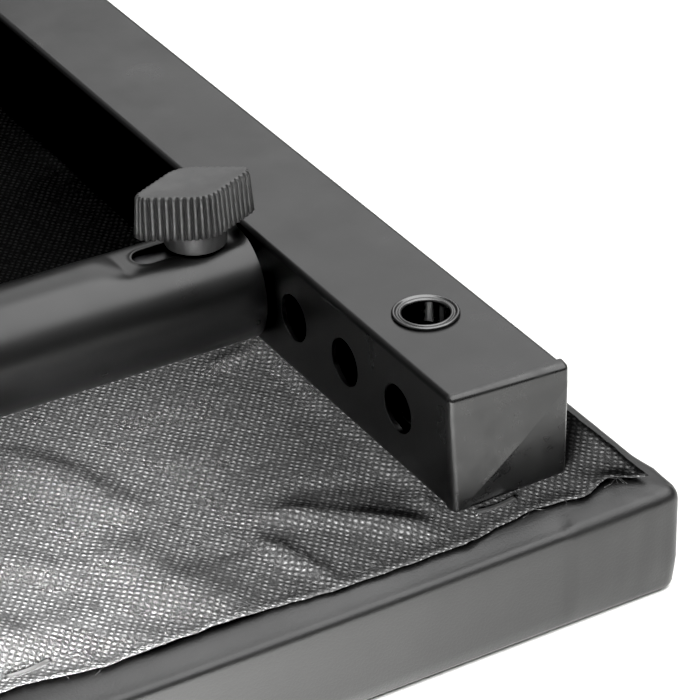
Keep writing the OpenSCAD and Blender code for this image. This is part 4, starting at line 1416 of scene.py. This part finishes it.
class BENCH_OT_pin_locks(bpy.types.Operator):
    """Finishes the lock sliders, their pins and the knobs' studs"""

    bl_idname = "bench.pin_locks"
    bl_label = "Pin locks"

    def execute(self, context):
        for side in ("right", "left"):
            dress(f"lock_slider_{side}", "slider_plastic", 0.3)
            dress(f"lock_pin_{side}", "zinc_plated_steel", 0.2)
            dress(f"knob_stud_{side}", "zinc_plated_steel", 0.2)
        return {"FINISHED"}


# ---------- stage ----------

FLOOR_HALF = 14.0
CAMERA_AIM = Vector((0.1146, -0.1841, 0.045))
POOL_SPREAD = math.radians(18)
BLACK_LEVEL = 0.003        # brightness that the view shows as full black
# Each light's place, the point it shines at, its width and its depth, in metres
LIGHTS = {
    "softbox": ((0.42, -0.43, 1.2), (0.42, -0.43, 0.0), 1.6, 1.55),
    "raking_light": ((-0.08, -0.42, 0.09), (0.03, -0.2, 0.03), 0.12, 0.06),
    "pool_of_light": ((-0.13, -0.42, 0.12), (0.0, -0.238, 0.03), 0.06, 0.06),
    "back_card": ((0.66, 0.5, 0.75), (0.12, -0.15, 0.05), 0.8, 0.8),
    "floor_glow": ((-0.03, -0.36, 0.15), (-0.03, -0.36, 0.0), 0.1, 0.1),
    "side_fill": ((-0.5, -0.72, 0.1), (0.0, -0.25, 0.02), 0.3, 0.16),
}
# Groups of pieces that a light is linked to. Only "shaded" lists the pieces that its lights leave out
RECEIVERS = ("glowing", "filled", "skimmed", "shaded")


def soft_light(name, radiance, group):
    """Adds one of the rectangular lights, linked to a group of pieces and unseen itself."""
    place, aim, width, depth = LIGHTS[name]
    light = bpy.data.lights.new(name, "AREA")
    light.shape = "RECTANGLE"
    light.size, light.size_y = width, depth
    light.energy = radiance * math.pi * width * depth
    lamp = bpy.data.objects.new(name, light)
    lamp.location = place
    lamp.rotation_mode = "QUATERNION"
    lamp.rotation_quaternion = (Vector(aim) - Vector(place)).to_track_quat("-Z", "Y")
    lamp.visible_camera = False
    bpy.context.scene.collection.objects.link(lamp)
    lamp.light_linking.receiver_collection = bpy.data.collections[group]
    return lamp


class BENCH_OT_stage(bpy.types.Operator):
    """Builds the pale floor, the room, the studio lights and the camera"""

    bl_idname = "bench.stage"
    bl_label = "Stage"

    def execute(self, context):
        scene, stage = context.scene, context.scene.bench_stage
        mesh = bpy.data.meshes.new("studio_floor")
        far = FLOOR_HALF
        mesh.from_pydata([(-far, -far, 0), (far, -far, 0), (far, far, 0), (-far, far, 0)], [], [(0, 1, 2, 3)])
        made, tree, shader, place = new_material("matt_floor_paint", stage.floor, 0.85, ior=1.45)
        speck = add(tree, "TexNoise", {"Scale": per(40), "Detail": 3.0}, {"Vector": place})
        bump = add(tree, "Bump", {"Strength": 0.05, "Distance": 0.2 * MM}, {"Height": speck.outputs["Fac"]})
        tree.links.new(bump.outputs["Normal"], shader.inputs["Normal"])
        mesh.materials.append(made)
        floor = bpy.data.objects.new("studio_floor", mesh)
        floor.location.z = PAD_LOW.z - 0.3 * MM
        scene.collection.objects.link(floor)

        world = bpy.data.worlds.new("white_room")
        scene.world = world
        world.use_nodes = True
        room = world.node_tree
        up = add(room, "SeparateXYZ", links={"Vector": add(room, "TexCoord").outputs["Generated"]})
        # The room brightens slowly above the horizon, and is at its full brightness 33 degrees up
        rise = add(room, "MapRange", {"From Max": 0.55}, {"Value": up.outputs["Z"]})
        curve = add(room, "Math", {1: 3.5}, {0: rise.outputs["Result"]}, operation="POWER")
        ramp = add(room, "MapRange", {"To Min": stage.room_low, "To Max": stage.room_high},
                   {"Value": curve.outputs["Value"]})
        # The backdrop itself is seen plain white
        seen = add(room, "LightPath")
        strength = add(room, "Mix", {MIX_NUMBER_B: 1.0},
                       {0: seen.outputs["Is Camera Ray"], MIX_NUMBER_A: ramp.outputs["Result"]})
        sky = room.nodes["Background"]
        sky.inputs["Color"].default_value = (1, 1, 1, 1)
        room.links.new(strength.outputs[0], sky.inputs["Strength"])

        for group in RECEIVERS:
            bpy.data.collections.new(group)
        soft_light("softbox", stage.softbox, "shaded")
        soft_light("raking_light", stage.rake, "skimmed")
        pool = soft_light("pool_of_light", stage.pool, "skimmed")
        pool.data.spread = POOL_SPREAD
        soft_light("back_card", stage.back_card, "shaded")
        soft_light("floor_glow", stage.floor_glow, "glowing")
        light_by("glowing", floor)
        soft_light("side_fill", stage.fill, "filled")

        lens = bpy.data.cameras.new("camera")
        lens.lens = stage.lens
        lens.sensor_width = 36.0
        lens.clip_start, lens.clip_end = 0.02, 60.0
        camera = bpy.data.objects.new("camera", lens)
        a, e = stage.azimuth, stage.elevation
        back = Vector((math.sin(a) * math.cos(e), -math.cos(a) * math.cos(e), math.sin(e)))
        camera.location = CAMERA_AIM + back * stage.distance
        camera.rotation_mode = "QUATERNION"
        level = (-back).to_track_quat("-Z", "Y")
        camera.rotation_quaternion = level @ Quaternion((0, 0, 1), stage.roll)
        scene.collection.objects.link(camera)
        scene.camera = camera
        scene.view_settings.view_transform = "Standard"
        scene.view_settings.look = "None"
        scene.view_settings.use_curve_mapping = True
        scene.view_settings.curve_mapping.black_level = (BLACK_LEVEL,) * 3
        return {"FINISHED"}


# ---------- panel and registration ----------

OPERATORS = (
    BENCH_OT_stage, BENCH_OT_seat_cover, BENCH_OT_seat_board, BENCH_OT_dust_cover, BENCH_OT_staples,
    BENCH_OT_rails, BENCH_OT_rail_caps, BENCH_OT_eyelets, BENCH_OT_cross_tubes, BENCH_OT_legs,
    BENCH_OT_feet, BENCH_OT_pin_locks, BENCH_OT_knobs,
)


class BENCH_PT_parts(bpy.types.Panel):
    """Lists the bench's sizes, colours and building steps"""

    bl_idname = "BENCH_PT_parts"
    bl_label = "Folding bench"
    bl_space_type = "VIEW_3D"
    bl_region_type = "UI"
    bl_category = "Bench"

    def draw(self, context):
        scene = context.scene
        for group in (scene.bench_sizes, scene.bench_colours, scene.bench_stage):
            box = self.layout.box()
            for name in group.bl_rna.properties.keys():
                if name not in ("rna_type", "name"):
                    box.prop(group, name)
        for operator in OPERATORS:
            self.layout.operator(operator.bl_idname)


CLASSES = (BenchSizes, BenchColours, BenchStage, *OPERATORS, BENCH_PT_parts)


def register():
    for cls in CLASSES:
        bpy.utils.register_class(cls)
    bpy.types.Scene.bench_sizes = bpy.props.PointerProperty(type=BenchSizes)
    bpy.types.Scene.bench_colours = bpy.props.PointerProperty(type=BenchColours)
    bpy.types.Scene.bench_stage = bpy.props.PointerProperty(type=BenchStage)


def unregister():
    del bpy.types.Scene.bench_stage
    del bpy.types.Scene.bench_colours
    del bpy.types.Scene.bench_sizes
    for cls in reversed(CLASSES):
        bpy.utils.unregister_class(cls)


def main():
    register()
    for operator in OPERATORS:
        group, name = operator.bl_idname.split(".")
        getattr(getattr(bpy.ops, group), name)()


if __name__ == "__main__":
    main()
